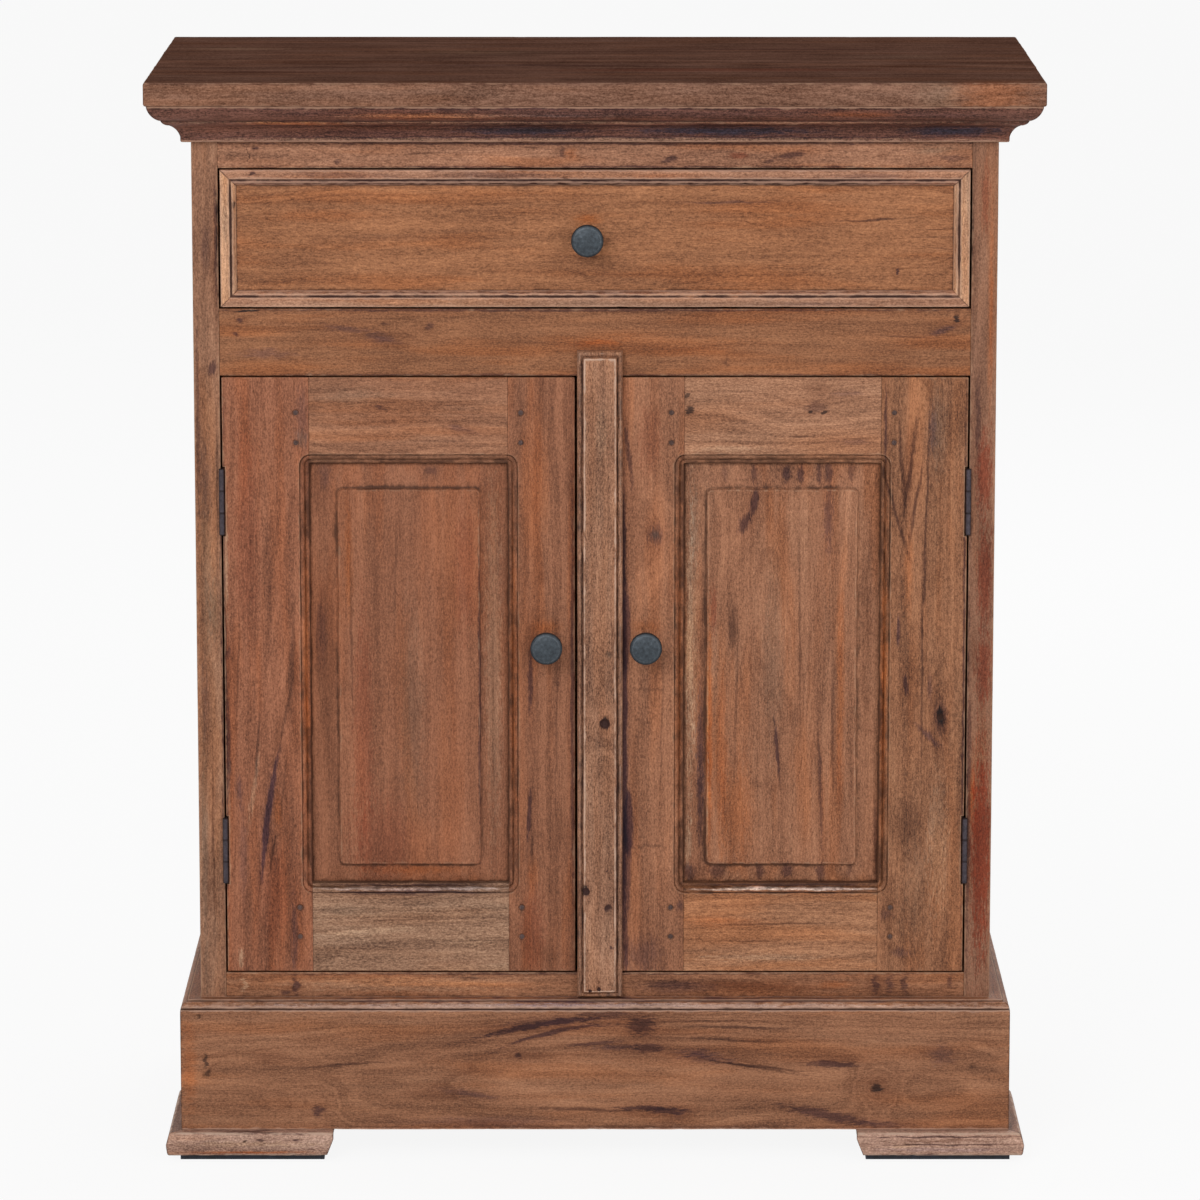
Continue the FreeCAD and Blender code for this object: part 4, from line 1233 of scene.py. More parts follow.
@dataclass
class Sticking:
    """The routed moulding round a door's panel opening.

    sight holds x0, x1, z0 and z1 of the opening.
    """

    sight: Four
    seed: int

    def depth_at(self, away: Array) -> Array:
        """Depth of the section at a distance out from the sight edge.

        A rounded lip, a small step, a quarter-round bead and a narrow quirk, each the
        height of an ellipse or a line over its own width.

        Args:
            away: Distances out from the sight edge.

        Returns:
            The depths.
        """
        lip = 6.1 - 2.0 * np.sqrt(np.clip(1 - ((3.0 - away) / 3.0) ** 2, 0, 1))
        step = 4.1 + (away - 3.0) / 1.6
        bead = 3.5 - 2.8 * np.sqrt(np.clip(1 - ((8.2 - away) / 3.6) ** 2, 0, 1))
        return np.select([away < 0, away < 3.0, away < 4.6, away < 8.2, away < 9.0],
                         [6.1, lip, step, bead, 1.5], 0.0)

    def across_lines(self, edge: float, side: float) -> list[float]:
        """Grid lines across the section, from the sight edge outward.

        Args:
            edge: The sight edge.
            side: The way outward, -1 or 1.

        Returns:
            Their places.
        """
        shares = (0, 0.3, 0.8, 1.5, 2.3, 2.98, 3.1, 3.8, 4.55, 4.68, 5.0, 5.5, 6.1, 6.8,
                  7.5, 8.15, 8.28, 8.6, 8.95, 9.08, 9.5, 10.2, 11.5)
        return [edge + side * share for share in shares]

    def relief(self, x: Array, z: Array) -> Relief:
        """The section laid round the opening, with its rounded corners.

        Args:
            x: Places along X.
            z: Their heights.

        Returns:
            Its depth, wear and grime there.
        """
        flat = on_face(x, z)
        drift = 0.22 * wander(flat, 26, self.seed)
        away = box_distance(x, z, self.sight, 1.6) + drift
        depth = self.depth_at(away)
        uneven = 0.7 + 0.7 * wander(flat, 20, self.seed + 2)
        quirk = 1.15 * uneven * np.exp(-np.abs(away - 8.65) / 0.9)
        groove = 0.5 * uneven ** 2 * np.exp(-np.abs(away - 4.2) / 0.9)
        foot = 1.15 * np.exp(-np.maximum(away - 0.5, 0) / 1.1)
        band = 0.66 - 0.16 * eased(away, 3.5, 5.5)
        arris = np.exp(-np.abs(away - 9.7) / 0.7)
        crown = 0.3 * np.exp(-np.abs(away - 7.0) / 0.8)
        lip = 0.3 * np.exp(-np.abs(away - 2.4) / 0.5)
        return Relief(depth, np.maximum.reduce([arris, crown, lip]) * (away < 14) * 0.8,
                      np.maximum.reduce([quirk, groove, foot, band]) * (away < 10))


@dataclass
class RaisedPanel:
    """A panel with sloping bevels and a stepped, hand-worn field.

    sight holds x0, x1, z0 and z1 of its opening in its own axes. bevels holds the bevel
    widths at the low side, high side, bottom and top, and line how dark the field's
    border is there.
    """

    sight: Four
    bevels: Four
    seed: int
    ragged: float = 0.5
    rise: float = 6.0
    step: float = 1.4
    line: Four = (0.5, 0.5, 0.6, 0.6)

    def field(self) -> Four:
        """The rectangle of the flat field.

        Returns:
            Its x0, x1, z0 and z1.
        """
        x0, x1, z0, z1 = self.sight
        low, high, bottom, top = self.bevels
        return (x0 + low, x1 - high, z0 + bottom, z1 - top)

    def relief(self, x: Array, z: Array) -> Relief:
        """Depth below the field.

        Outside the field the panel drops by the step, then by the rise times the largest
        share of any bevel that has been crossed, so the bevels meet in mitres.

        Args:
            x: Places along X.
            z: Their heights.

        Returns:
            Depth, wear, and grime with painted shade there.
        """
        x0, x1, z0, z1 = self.field()
        low, high, bottom, top = self.bevels
        flat = on_face(x, z)
        drift = self.ragged * wander(flat, (9, 9, 22), self.seed)
        away = box_distance(x, z, (x0, x1, z0, z1), 5.0) + drift
        beyond = np.stack([x0 - x, x - x1, z0 - z, z - z1])
        shares = beyond / np.array([low, high, bottom, top])[:, None]
        slope = np.clip(shares.max(0), 0, 1)
        dark = np.array(self.line)[np.argmax(beyond, 0)]
        stepped = self.step * eased(away, -0.35, 0.55)
        scoop = 0.5 * np.sin(math.pi * slope)
        tool = 0.18 * self.ragged * (wander(flat, (6, 6, 30), self.seed + 3, 2) + 1)
        outside = away > 0
        depth = stepped + self.rise * slope + (scoop + tool) * outside
        x0, x1, z0, z1 = self.sight
        edge = np.stack([x - x0, x1 - x, z - z0, z1 - z]).min(0)
        foot = 1.35 * dark * (0.85 + 0.7 * wander(flat, (14, 14, 30), self.seed + 5))
        foot = foot * np.exp(-np.abs(away - 1.3) / 1.9)
        # seat is painted shade where the panel runs in under the sticking.
        seat = 0.9 * np.exp(-np.maximum(edge, 0) / 1.7)
        return Relief(depth, 0.62 * np.exp(-np.abs(away + 1.2) / 0.9), np.maximum(foot, seat))

    def skin(self, face_y: float, back_y: float, facing: Facing, reach: float,
             step: float) -> Skin:
        """The panel's surface, tongue and all.

        Args:
            face_y: Front of the field in the panel's own axes.
            back_y: Back of the panel.
            facing: Which way the field looks.
            reach: How far the tongue goes past the sight edge.
            step: Widest space between grid lines.

        Returns:
            The panel's skin in the room.
        """
        x0, x1, z0, z1 = self.sight
        f0, f1, g0, g1 = self.field()
        corners = facing.to_room(np.array([[x0 - reach, face_y, z0 - reach],
                                           [x1 + reach, back_y, z1 + reach]]))
        board = Board(tuple(corners.min(0)), tuple(corners.max(0)), self.seed,
                      (0.5,) * 4, facing, step,
                      round_lines((f0, f1), 3.0, 0.5) + round_lines((x0, x1), 2.0, 1.0),
                      round_lines((g0, g1), 3.0, 0.5) + round_lines((z0, z1), 2.0, 1.0),
                      (self.relief,), sway=0.25)
        return board.skin()


# Marks of each board by kind, painted highlights and shade among them: x, z, length, width,
# share, lean, bow and pull

K = MarkKind
TOP_MARKS: Marks = {
    K.GREY: [(313, -214, 60, 60, .4), (-110, 60, 200, 60, .5), (290, 20, 180, 50, .4)],
    K.ORANGE: [(362, -214, 110, 50, .35)],
    K.PALE: [(-340, 95, 130, 34, .3)],
    K.DARK: [(-300, -120, 240, 16, .35), (-60, -60, 320, 24, .3), (190, 90, 260, 20, .35)],
    K.RED: [(120, -100, 420, 40, .3)]}
CORNICE_MARKS: Marks = {
    # The dark line at z 991 is painted shade under the top's edge.
    K.DARK: [(0, 991, 900, 3, .85), (0, 978.6, 900, 2.6, .7), (0, 973.4, 900, 2.6, .85),
        (0, 962, 900, 2.6, .8), (119, 968, 210, 14, .75), (329, 968, 120, 15, .8),
        (-65, 968, 150, 12, .65), (-210, 967, 110, 9, .45)],
    K.SLATE: [(119, 968, 220, 11, .9), (329, 968, 130, 13, .9), (-65, 968, 170, 10, .8)],
    K.PINK: [(-120, 984, 300, 4, .4)],
    # Both pale lines are painted highlights: on the bottom lip at z 959.5 and on the bead at z
    # 977.
    K.PALE: [(0, 959.5, 900, 6, .35), (0, 977, 900, 3, .3)],
    K.ORANGE: [(-150, 984, 260, 8, .45), (240, 985, 120, 8, .4), (-272, 976, 160, 6, .5)],
    K.PURPLE: [(20, 986, 460, 9, .5), (-250, 986, 120, 7, .4), (300, 985, 160, 9, .5)]}
PLINTH_MARKS: Marks = {
    K.DARK: [(-45, 131, 168, 8, .95, .15, -1), (-35, 124, 134, 6, .85, .22, -2),
        (0, 112, 72, 5, .7, .08), (43, 129, 36, 25, .75), (50, 107, 38, 13, .75),
        (222, 92, 64, 9, .8, -.05), (50, 49, 84, 6, .8), (10, 140, 70, 7, .6),
        (66, 47, 56, 10, .8, -.05), (218, 42, 116, 14, .8, -.2, .4),
        (-259, 47, 15, 15, .8, 0, 0, 10), (-73, 100, 10, 8, .8)],
    K.PURPLE: [(20, 108, 60, 8, .8), (104, 98, 76, 13, .75, -.12), (78, 44, 14, 13, .7),
        (-50, 132, 130, 14, .4, .09, -.45), (96, 103, 50, 13, .7, -.05), (324, 101, 36, 30, .6),
        (268, 33, 80, 10, .6), (-118, 63, 80, 9, .7, -.15), (-100, 36, 200, 16, .5),
        (-30, 149, 170, 9, .5)],
    K.VEIN: [(142, 90, 150, 4, .75, -.16), (135, 127, 190, 4, .8, -.02),
        (100, 133, 170, 3.5, .7, 0, .05), (120, 115, 150, 3.5, .7, -.05, .1),
        (150, 90, 130, 4, .8, -.12, .1), (-10, 48, 150, 5, .8, -.03),
        (-237, 91, 120, 4, .75, .08), (0, 31, 776, 6, .6)],
    K.BROWN: [(-60, 100, 60, 12, .5), (-60, 128, 190, 26, .5, .09, -.4), (40, 128, 48, 44, .5),
        (231, 95, 90, 20, .5, -.03), (264, 70, 80, 60, .45), (-306, 99, 60, 20, .5),
        (-150, 62, 90, 20, .45)],
    K.SHADE: [(0, 143.6, 900, 2, .7), (0, 151.4, 900, 2.6, .75)],
    K.PINK: [(0, 147, 900, 6.5, .55)],
    K.CORE: [(264, 68.8, 13, 12, .85, 0, 0, 30), (-364.9, 95.5, 6, 18, .7)],
    K.ORANGE: [(-380, 88, 20, 120, .45)],
    K.PALE: [(0, 147.5, 900, 8, .35)]}
FOOT_MARKS: Marks = {
    K.DARK: [(323, 24.6, 170, 2, .85), (323, 17.4, 170, 2, .8), (-323, 6.6, 170, 2, .9),
        (323, 7.2, 170, 2, .9), (-323, 27.6, 170, 2.4, .8), (-312.6, 22, 8, 3),
        (-278, 22, 9, 3)],
    K.BROWN: [(323, 21, 170, 7, .6)],
    K.PINK: [(323, 12.5, 160, 5, .8)],
    K.PALE: [(-323, 18, 160, 8, .5), (290, 16, 30, 8, .4)],
    K.ORANGE: [(-323, 9.6, 164, 4.5, .85)]}
LEFT_STILE_MARKS: Marks = {
    K.PURPLE: [(-360, 640, 110, 15, .45), (-362, 430, 120, 12, .45), (-357, 860, 70, 12, .45)],
    K.GREY: [(-354, 520, 90, 14, .7), (-360, 566, 300, 18, .6), (-364, 300, 400, 9, .6)],
    # The dark lines at x -346 and -347.5 and the core line at x -346 are painted shade of the
    # gaps beside the door and the drawer.
    K.DARK: [(-352.5, 748, 17, 11, .8), (-346, 458, 640, 2.6, .8), (-366, 700, 260, 4, .5),
        (-347.5, 868, 150, 4, .7)],
    K.CORE: [(-346, 868, 140, 2.6, .8)],
    K.VEIN: [(-356, 300, 330, 3, .6), (-349, 640, 220, 3.5, .6)],
    K.BROWN: [(-350, 845, 130, 12, .5), (-361, 263, 110, 16, .5)]}
RIGHT_STILE_MARKS: Marks = {
    K.RED: [(359, 650, 110, 20, .75), (361, 552, 120, 20, .7), (361, 465, 90, 20, .7),
        (360, 290, 280, 26, .9), (358, 905, 90, 10, .4)],
    K.ORANGE: [(351, 343, 80, 12, .7), (364, 800, 260, 7, .5)],
    # The dark and core lines at x 346 are painted shade of the gaps beside the door and the
    # drawer.
    K.DARK: [(353, 700, 100, 7, .6), (346, 458, 640, 2.6, .8), (348, 330, 340, 5, .6)],
    K.CORE: [(346, 868, 140, 2.6, .8)],
    K.BROWN: [(352, 480, 70, 12, .6), (364, 600, 300, 7, .5)]}
TOP_RAIL_MARKS: Marks = {
    # The long dark line at z 955.5 is a painted shadow under the cornice, with some grime; the
    # one at z 933 is painted shade of the gap over the drawer.
    K.DARK: [(0, 955.5, 900, 4, .8), (0, 933, 900, 3.5, .8), (-309.9, 951, 9, 6),
        (-235.4, 938.5, 9, 6, .7), (-30, 947, 7, 14, .6, .6), (68, 940.5, 18, 8, .75, .3),
        (180, 944, 32, 10, .75, .25), (160, 939, 18, 5, .6, .3)],
    K.VEIN: [(-317.8, 945, 1.6, 26), (-160, 946, 60, 3, .6, .05), (-58, 952, 22, 3, .8)],
    K.ORANGE: [(-22, 946, 22, 16, .5)],
    K.RED: [(132, 944, 28, 9, .55, .1)],
    K.BROWN: [(262, 944, 20, 10, .5)],
    K.GREY: [(310, 949, 60, 12, .6)],
    K.PURPLE: [(328, 942, 34, 10, .5)]}
MIDDLE_RAIL_MARKS: Marks = {
    # The long dark lines at z 801.5 and 741 are painted shade of the gaps under the drawer and
    # over the doors.
    K.DARK: [(0, 801.5, 900, 3.5, .7), (0, 741, 900, 3, .6), (-326, 792, 9, 8, .8, 0, 0, 6),
        (-330, 779, 7, 5, .75), (-152.6, 786.3, 8, 9, .6, 0, 0, 5)],
    K.CORE: [(-320, 801, 30, 3, .9), (332.6, 793.2, 8, 9, .9, 0, 0, 9)],
    K.PURPLE: [(-196, 775, 40, 13, .75, -.15), (-228, 784, 60, 9, .6, -.1),
        (-303, 761, 70, 14, .5), (320, 782.8, 36, 9, .8, .3)],
    K.VEIN: [(-193, 788.5, 16, 4, .8), (283, 777, 80, 1.8, .6, -.04), (122, 753, 6, 18, .5)],
    # The orange patch at x 4, z 771 is a painted halo of contact shade over the cover strip's
    # top end.
    K.ORANGE: [(60, 770, 260, 22, .35), (4, 771, 60, 10, .6)]}
BOTTOM_RAIL_MARKS: Marks = {
    # The long dark line at z 174.5 is painted shade of the gap under the doors.
    K.DARK: [(0, 174.5, 900, 3.5, .7), (-280.7, 163, 9, 22, .8), (-290, 156, 14, 6, .7),
        (262.3, 164, 10, 24, .75), (289.9, 164, 9, 24, .7), (333, 167, 7, 16, .6),
        (68, 164, 60, 10, .4)],
    K.PALE: [(-329.3, 163.6, 7, 18, .7), (-170, 164, 300, 18, .3)],
    K.BROWN: [(150, 163, 250, 22, .75), (264, 164, 70, 24, .6)],
    K.PURPLE: [(80, 162, 110, 18, .55), (276, 164, 12, 24, .7)],
    K.ORANGE: [(-130, 164, 260, 12, .45), (225, 164, 50, 12, .5)],
    K.VEIN: [(-117, 170, 26, 3, .7)]}
DRAWER_MARKS: Marks = {
    K.VEIN: [(-190, 868, 170, 9, .3), (255, 884, 110, 3, .85, .045), (320, 868, 90, 2.4, .55),
        (320, 858, 90, 2, .5, -.06), (320, 876, 90, 2, .5, .06)],
    K.DARK: [(278, 836, 4, 9)],
    K.PURPLE: [(120, 900, 110, 4, .6)],
    # At x -7 the orange patch over the knob is a painted halo of contact shade, and the brown
    # one under it a painted shadow of the knob.
    K.ORANGE: [(-7, 884, 36, 16, .75), (-250, 888, 150, 16, .35)],
    K.BROWN: [(-7, 850, 34, 12, .5), (-273, 846, 110, 26, .3)]}
LEVEL_MOULDING_MARKS: Marks = {
    # The brown and shade bands at z 918 are painted shade on the top stick's bead, which faces
    # down.
    K.BROWN: [(0, 918.8, 900, 12, 1)],
    K.SHADE: [(0, 918.4, 900, 11, .75)],
    # The dark line at z 930.4 is painted shade of the gap over the drawer.
    K.DARK: [(0, 921.5, 900, 2.4, .8), (0, 817.5, 900, 2.2, .6), (0, 930.4, 900, 1.6, .7),
        (-313, 928, 7, 4), (-309, 921, 4, 4)],
    K.PALE: [(0, 815, 900, 3, .5)],
    K.GREY: [(0, 807, 900, 14, .5)],
    K.PURPLE: [(-90, 926, 160, 9, .5), (250, 925, 120, 8, .5), (-230, 926, 130, 8, .5),
        (200, 807, 120, 6, .45)],
    K.ORANGE: [(60, 926, 120, 7, .4)],
    K.VEIN: [(170, 917.5, 300, 3, .8)]}
UPRIGHT_MOULDING_MARKS: Marks = {
    K.BROWN: [(-331.5, 868, 130, 5, .6), (331.5, 868, 130, 5, .7)],
    K.DARK: [(-334.2, 868, 130, 1.8, .7), (334.2, 868, 130, 1.8, .6)],
    K.GREY: [(-339, 880, 60, 7, .5)],
    K.CORE: [(-331, 898, 9, 5)],
    K.VEIN: [(-333.5, 870, 70, 1.4)]}
STRIP_MARKS: Marks = {
    K.CORE: [(8.8, 416, 16, 11, .95, 0, 0, 9), (-9.4, 256.5, 13, 8, .9, 0, 0, 6),
        (3.7, 162.6, 5, 5), (-5, 160.5, 5, 4)],
    K.BROWN: [(8, 412, 34, 18, .3)],
    K.DARK: [(12.1, 240.4, 9, 8), (14.9, 202.5, 5, 4), (11.1, 276.4, 4, 3)],
    K.GREY: [(12, 481, 9, 8, .8)],
    K.VEIN: [(16, 500, 60, 1.2, .8), (17, 250, 60, 1.2, .8), (-12, 470, 140, 2, .5),
        (-6, 330, 60, 1.2, .6), (10, 590, 40, 1.2, .5, .1)],
    K.PURPLE: [(20, 300, 260, 3, .5)],
    K.PALE: [(6, 690, 60, 14, .3)]}
LEFT_HINGE_MARKS: Marks = {
    K.SHADE: [(-305, 325, 150, 7.5, .8, .14, .55)],
    K.VEIN: [(-287, 425, 100, 4, .6, .2), (-291, 345, 100, 2.4, .5, .1),
        (-281, 480, 140, 8, .6, .05), (-314, 390, 110, 4, .8, .06),
        (-300.5, 292, 60, 4, .8, .14), (-331, 470, 160, 3, .5, .03)],
    K.ORANGE: [(-268, 460, 430, 10, .6), (-296, 330, 60, 12, .5)],
    K.PALE: [(-318, 350, 90, 6, .35, .15), (-331, 190, 22, 8, .6), (-341, 560, 130, 4, .5),
        (-341, 350, 90, 4, .4)],
    K.PURPLE: [(-306, 322, 150, 13, .5, .14, .5), (-331, 348, 44, 11, .7),
        (-328, 285, 140, 11, .45), (-281, 212, 110, 10, .8), (-270, 700, 90, 20, .5)],
    K.BROWN: [(-291, 420, 150, 12, .4, .2)],
    # The dark line at x -343 is painted shade of the gap along the hinge edge.
    K.DARK: [(-343, 458, 640, 3, .8), (-341, 394, 160, 5, .7), (-340, 480, 18, 5, .6)],
    K.GREY: [(-271, 682, 26, 16, .5)],
    K.RED: [(-322, 600, 260, 30, .25), (-300, 250, 120, 40, .2)]}
LEFT_LOCK_MARKS: Marks = {
    # The dark line at x -21 is painted shade of the gap beside the cover strip.
    K.DARK: [(-61.5, 326, 70, 5.5, .85, .05), (-60, 455, 80, 6, .8), (-21, 450, 560, 5, .7)],
    K.VEIN: [(-59, 300, 80, 4, .6), (-36, 380, 240, 2.6, .5, .01)],
    # The orange patch at x -45, z 505 is a painted halo of contact shade round the knob.
    K.ORANGE: [(-76, 460, 430, 10, .6), (-58, 268, 60, 16, .4), (-45, 505, 22, 40, .5),
        (-50, 640, 150, 26, .3)],
    K.BROWN: [(-50, 552, 24, 12, .5), (-46, 192, 44, 24, .5)],
    K.RED: [(-58, 215, 120, 30, .3)]}
LEFT_TOP_MARKS: Marks = {
    K.DARK: [(-198.7, 711.5, 9, 6, .7), (-193, 709, 8, 3, .5)],
    K.PURPLE: [(-123.5, 691, 36, 9, .6, -.2)],
    K.VEIN: [(-144, 680, 90, 3, .5)],
    K.GREY: [(-225, 722, 90, 26, .35)]}
LEFT_BOTTOM_MARKS: Marks = {
    K.DARK: [(-172, 258.8, 200, 2.8, .85)],
    K.SHADE: [(-172, 252.2, 200, 1.8, .7)],
    # A painted highlight along the bead, which faces up.
    K.PAINTED_HIGHLIGHT: [(-172, 255.6, 205, 3.6, .55)],
    K.PALE: [(-205, 215, 110, 9, .45, .06), (-120, 205, 70, 8, .4)],
    K.GREY: [(-230, 235, 90, 18, .5)],
    K.VEIN: [(-180, 226, 130, 2.4, .5, .02)],
    K.BROWN: [(-130, 186, 120, 10, .35)],
    K.PURPLE: [(-172, 252.5, 190, 7, .75)]}
LEFT_PANEL_MARKS: Marks = {
    K.GREY: [(-170, 420, 330, 34, .35)],
    K.RED: [(-216, 400, 320, 26, .35), (-200, 300, 120, 80, .3), (-120, 560, 180, 26, .25)],
    K.PURPLE: [(-254, 500, 90, 14, .5), (-250, 645, 40, 16, .5)],
    K.ORANGE: [(-228, 560, 160, 11, .5), (-172, 273, 14, 150, .4)],
    K.VEIN: [(-226, 500, 260, 4, .55), (-185, 560, 180, 4, .4, .02)],
    K.BROWN: [(-175, 285, 36, 150, .3), (-95, 430, 380, 4, .4), (-250, 460, 440, 26, .4)],
    K.DARK: [(-152, 650, 10, 18, .5), (-107.4, 455, 400, 3, .75)],
    K.PALE: [(-94, 470, 430, 20, .3)]}
RIGHT_HINGE_MARKS: Marks = {
    K.VEIN: [(277, 615, 132, 5.5, .9, -.3), (296, 618, 110, 5.5, .9, .17),
        (303.5, 470, 300, 3.4, .7), (291, 655, 150, 6, .85, .13),
        (283.5, 655, 150, 5, .85, -.07), (306, 600, 320, 3.6, .85, .02),
        (292, 322, 60, 34, .4, 0, -9)],
    # The dark line at x 342 is painted shade of the gap along the hinge edge.
    K.DARK: [(268, 692, 100, 4, .75), (320.8, 420, 44, 17, .6),
        (288.5, 450, 28, 7, .85, -.15, 0, 6), (342, 458, 620, 3, .8)],
    K.BROWN: [(288, 632, 96, 18, .6), (288, 670, 130, 16, .5)],
    K.PURPLE: [(311, 690, 60, 12, .6), (311, 401, 34, 12, .8, -1), (311, 448, 36, 8, .6),
        (286, 194, 12, 28, .6), (272, 232, 14, 18, .5)],
    K.SHADE: [(281, 500, 34, 4, .7)],
    K.CORE: [(320.8, 420, 24, 8, .9, -.1, 0, 18)],
    K.GREY: [(316, 690, 120, 22, .6), (300, 250, 160, 40, .4)],
    K.ORANGE: [(268, 460, 430, 10, .8), (290, 560, 130, 14, .4)],
    K.PALE: [(320, 300, 160, 24, .3)]}
RIGHT_LOCK_MARKS: Marks = {
    K.SHADE: [(25.4, 400, 560, 12, .8), (28, 500, 110, 12, .7), (31, 318, 84, 13, .8),
        (29.5, 280, 130, 11, .6), (29, 205, 90, 5, .6)],
    K.PURPLE: [(55.5, 591, 30, 22, .7, 0, 0, 12), (27, 350, 440, 14, .4), (46, 193, 50, 50, .6),
        (80, 239.8, 15, 15, .7)],
    K.GREY: [(56, 592, 14, 11, .9)],
    K.DARK: [(31, 668, 80, 6, .7, -.1), (26.5, 590, 160, 5, .7)],
    K.VEIN: [(51, 297, 5, 36, .5), (50, 446, 5, 40, .35), (77, 470, 420, 3, .4),
        (62, 420, 200, 3, .4, .02)],
    # The orange patch at x 47, z 506 is a painted halo of contact shade round the knob.
    K.ORANGE: [(47, 506, 22, 40, .4), (78, 460, 430, 10, .6)],
    K.BROWN: [(78, 700, 70, 8, .5)],
    K.RED: [(50, 680, 90, 30, .25)]}
RIGHT_TOP_MARKS: Marks = {
    K.CORE: [(86.5, 708, 12, 11, .85, .2), (84.5, 722, 7, 6, .7), (198, 707, 6, 4, .8),
        (211, 706, 6, 4, .8)],
    K.DARK: [(203, 711, 26, 16, .5, 0, 0, 8)],
    K.BROWN: [(206, 728, 40, 20, .45)],
    K.PURPLE: [(233, 724, 40, 7, .5), (240, 679, 50, 8, .5, -.05)],
    K.VEIN: [(190, 684, 34, 3, .75)],
    K.PALE: [(120, 672, 80, 8, .3)]}
RIGHT_BOTTOM_MARKS: Marks = {
    K.BROWN: [(150, 240, 160, 10, .35)],
    K.VEIN: [(170, 222, 170, 2.6, .6, .02), (140, 206, 110, 2.2, .5)],
    K.PALE: [(150, 190, 150, 9, .35)],
    K.ORANGE: [(120, 225, 120, 16, .4)],
    # A painted highlight along the bead, which faces up.
    K.PAINTED_HIGHLIGHT: [(173, 255.4, 205, 3.2, 1)],
    K.DARK: [(173, 252.4, 210, 2, .8), (173, 259, 210, 2.6, .9)]}
RIGHT_PANEL_MARKS: Marks = {
    K.DARK: [(147, 648, 22, 8, .6), (177, 648, 22, 10, .85), (190, 648, 22, 9, .8),
        (207, 647, 22, 7, .7), (216, 648, 22, 11, .7), (237, 648, 22, 9, .5),
        (120, 648, 22, 7, .4), (210, 272, 22, 11, .7), (180, 272, 22, 14, .75),
        (154, 271, 22, 11, .7), (114, 272, 22, 22, .6), (88, 271, 22, 16, .7),
        (238, 272, 22, 8, .4), (138.5, 603, 26, 15, .8, .3, 0, 9), (147, 622, 44, 9, .85, .2),
        (169.5, 386, 70, 5, .85, -.09), (210, 348, 140, 5, .6, -.04), (98, 330, 110, 8, .5),
        (262, 300, 100, 6, .5)],
    K.PURPLE: [(98, 380, 200, 11, .9), (216, 606, 90, 13, .75)],
    K.PALE: [(104.6, 430, 110, 3, .4), (105, 330, 90, 2.6, .4), (88, 470, 400, 9, .3),
        (87, 300, 70, 8, .4), (90, 500, 330, 15, .3)],
    K.RED: [(110, 520, 60, 8, .5)],
    K.VEIN: [(128, 504, 66, 14, .7), (221, 420, 260, 4, .55), (131, 430, 220, 4, .5, .02),
        (190, 500, 260, 3.5, .5, -.01)],
    K.ORANGE: [(130, 330, 150, 50, .5), (106, 410, 320, 9, .8), (118, 380, 280, 14, .4),
        (228, 440, 300, 12, .55)],
    K.GREY: [(92, 600, 110, 14, .4), (165, 470, 280, 28, .4)],
    K.BROWN: [(253, 470, 380, 14, .25)]}


# Sub-assemblies

def body_runs(top: float) -> dict[str, Run]:
    """The runs across the front and back along both sides, mitred at the front.

    Args:
        top: Height of the runs.

    Returns:
        The runs by name.
    """
    left, right = (-HALF_BODY, FACE_Y, top), (HALF_BODY, FACE_Y, top)
    return {"front": Run(left, right, (-1, -1, 0), (1, -1, 0)),
            "left": Run(left, (-HALF_BODY, REAR_Y, top), (-1, -1, 0), (-1, 0, 0)),
            "right": Run(right, (HALF_BODY, REAR_Y, top), (1, -1, 0), (1, 0, 0))}


@dataclass
class Top:
    """Three boards edge to edge, dark on top and rubbed at the edges."""

    half_width: float = 410.0
    depths: tuple[float, ...] = (-215.0, -65.0, 71.0, 215.0)
    z: Pair = (993.0, 1015.0)
    edge: float = 2.4

    def build(self) -> None:
        """Makes the three boards as one piece."""
        skins = []
        for count, (y0, y1) in enumerate(zip(self.depths, self.depths[1:])):
            ease = (self.edge, self.edge, self.edge if count == 0 else TIGHT,
                    self.edge if count == 2 else TIGHT)
            skins.append(Board((-self.half_width, y0, self.z[0]),
                               (self.half_width, y1, self.z[1]), 11 + count, ease,
                               Facing.UP, 7.0, sway=0.2, shaded_face=True).skin())
        finish = WoodFinish("dark waxed top", Grain.ALONG_TOP, (126, 91, 74), 1.3, 1.1,
                            ring=5.0, pith=(0.0, -40.0, 1080.0), bends=0.02, warm=0.3,
                            grey=0.5, worn=0.5, worn_colour=(186, 146, 120), rough=0.6,
                            gloss=0.0, shaded=(98, 68, 56), marks=TOP_MARKS)
        make_piece("top_board_set", joined(skins), finish.make(), "carcass", "top_wood",
                   "top_boards")


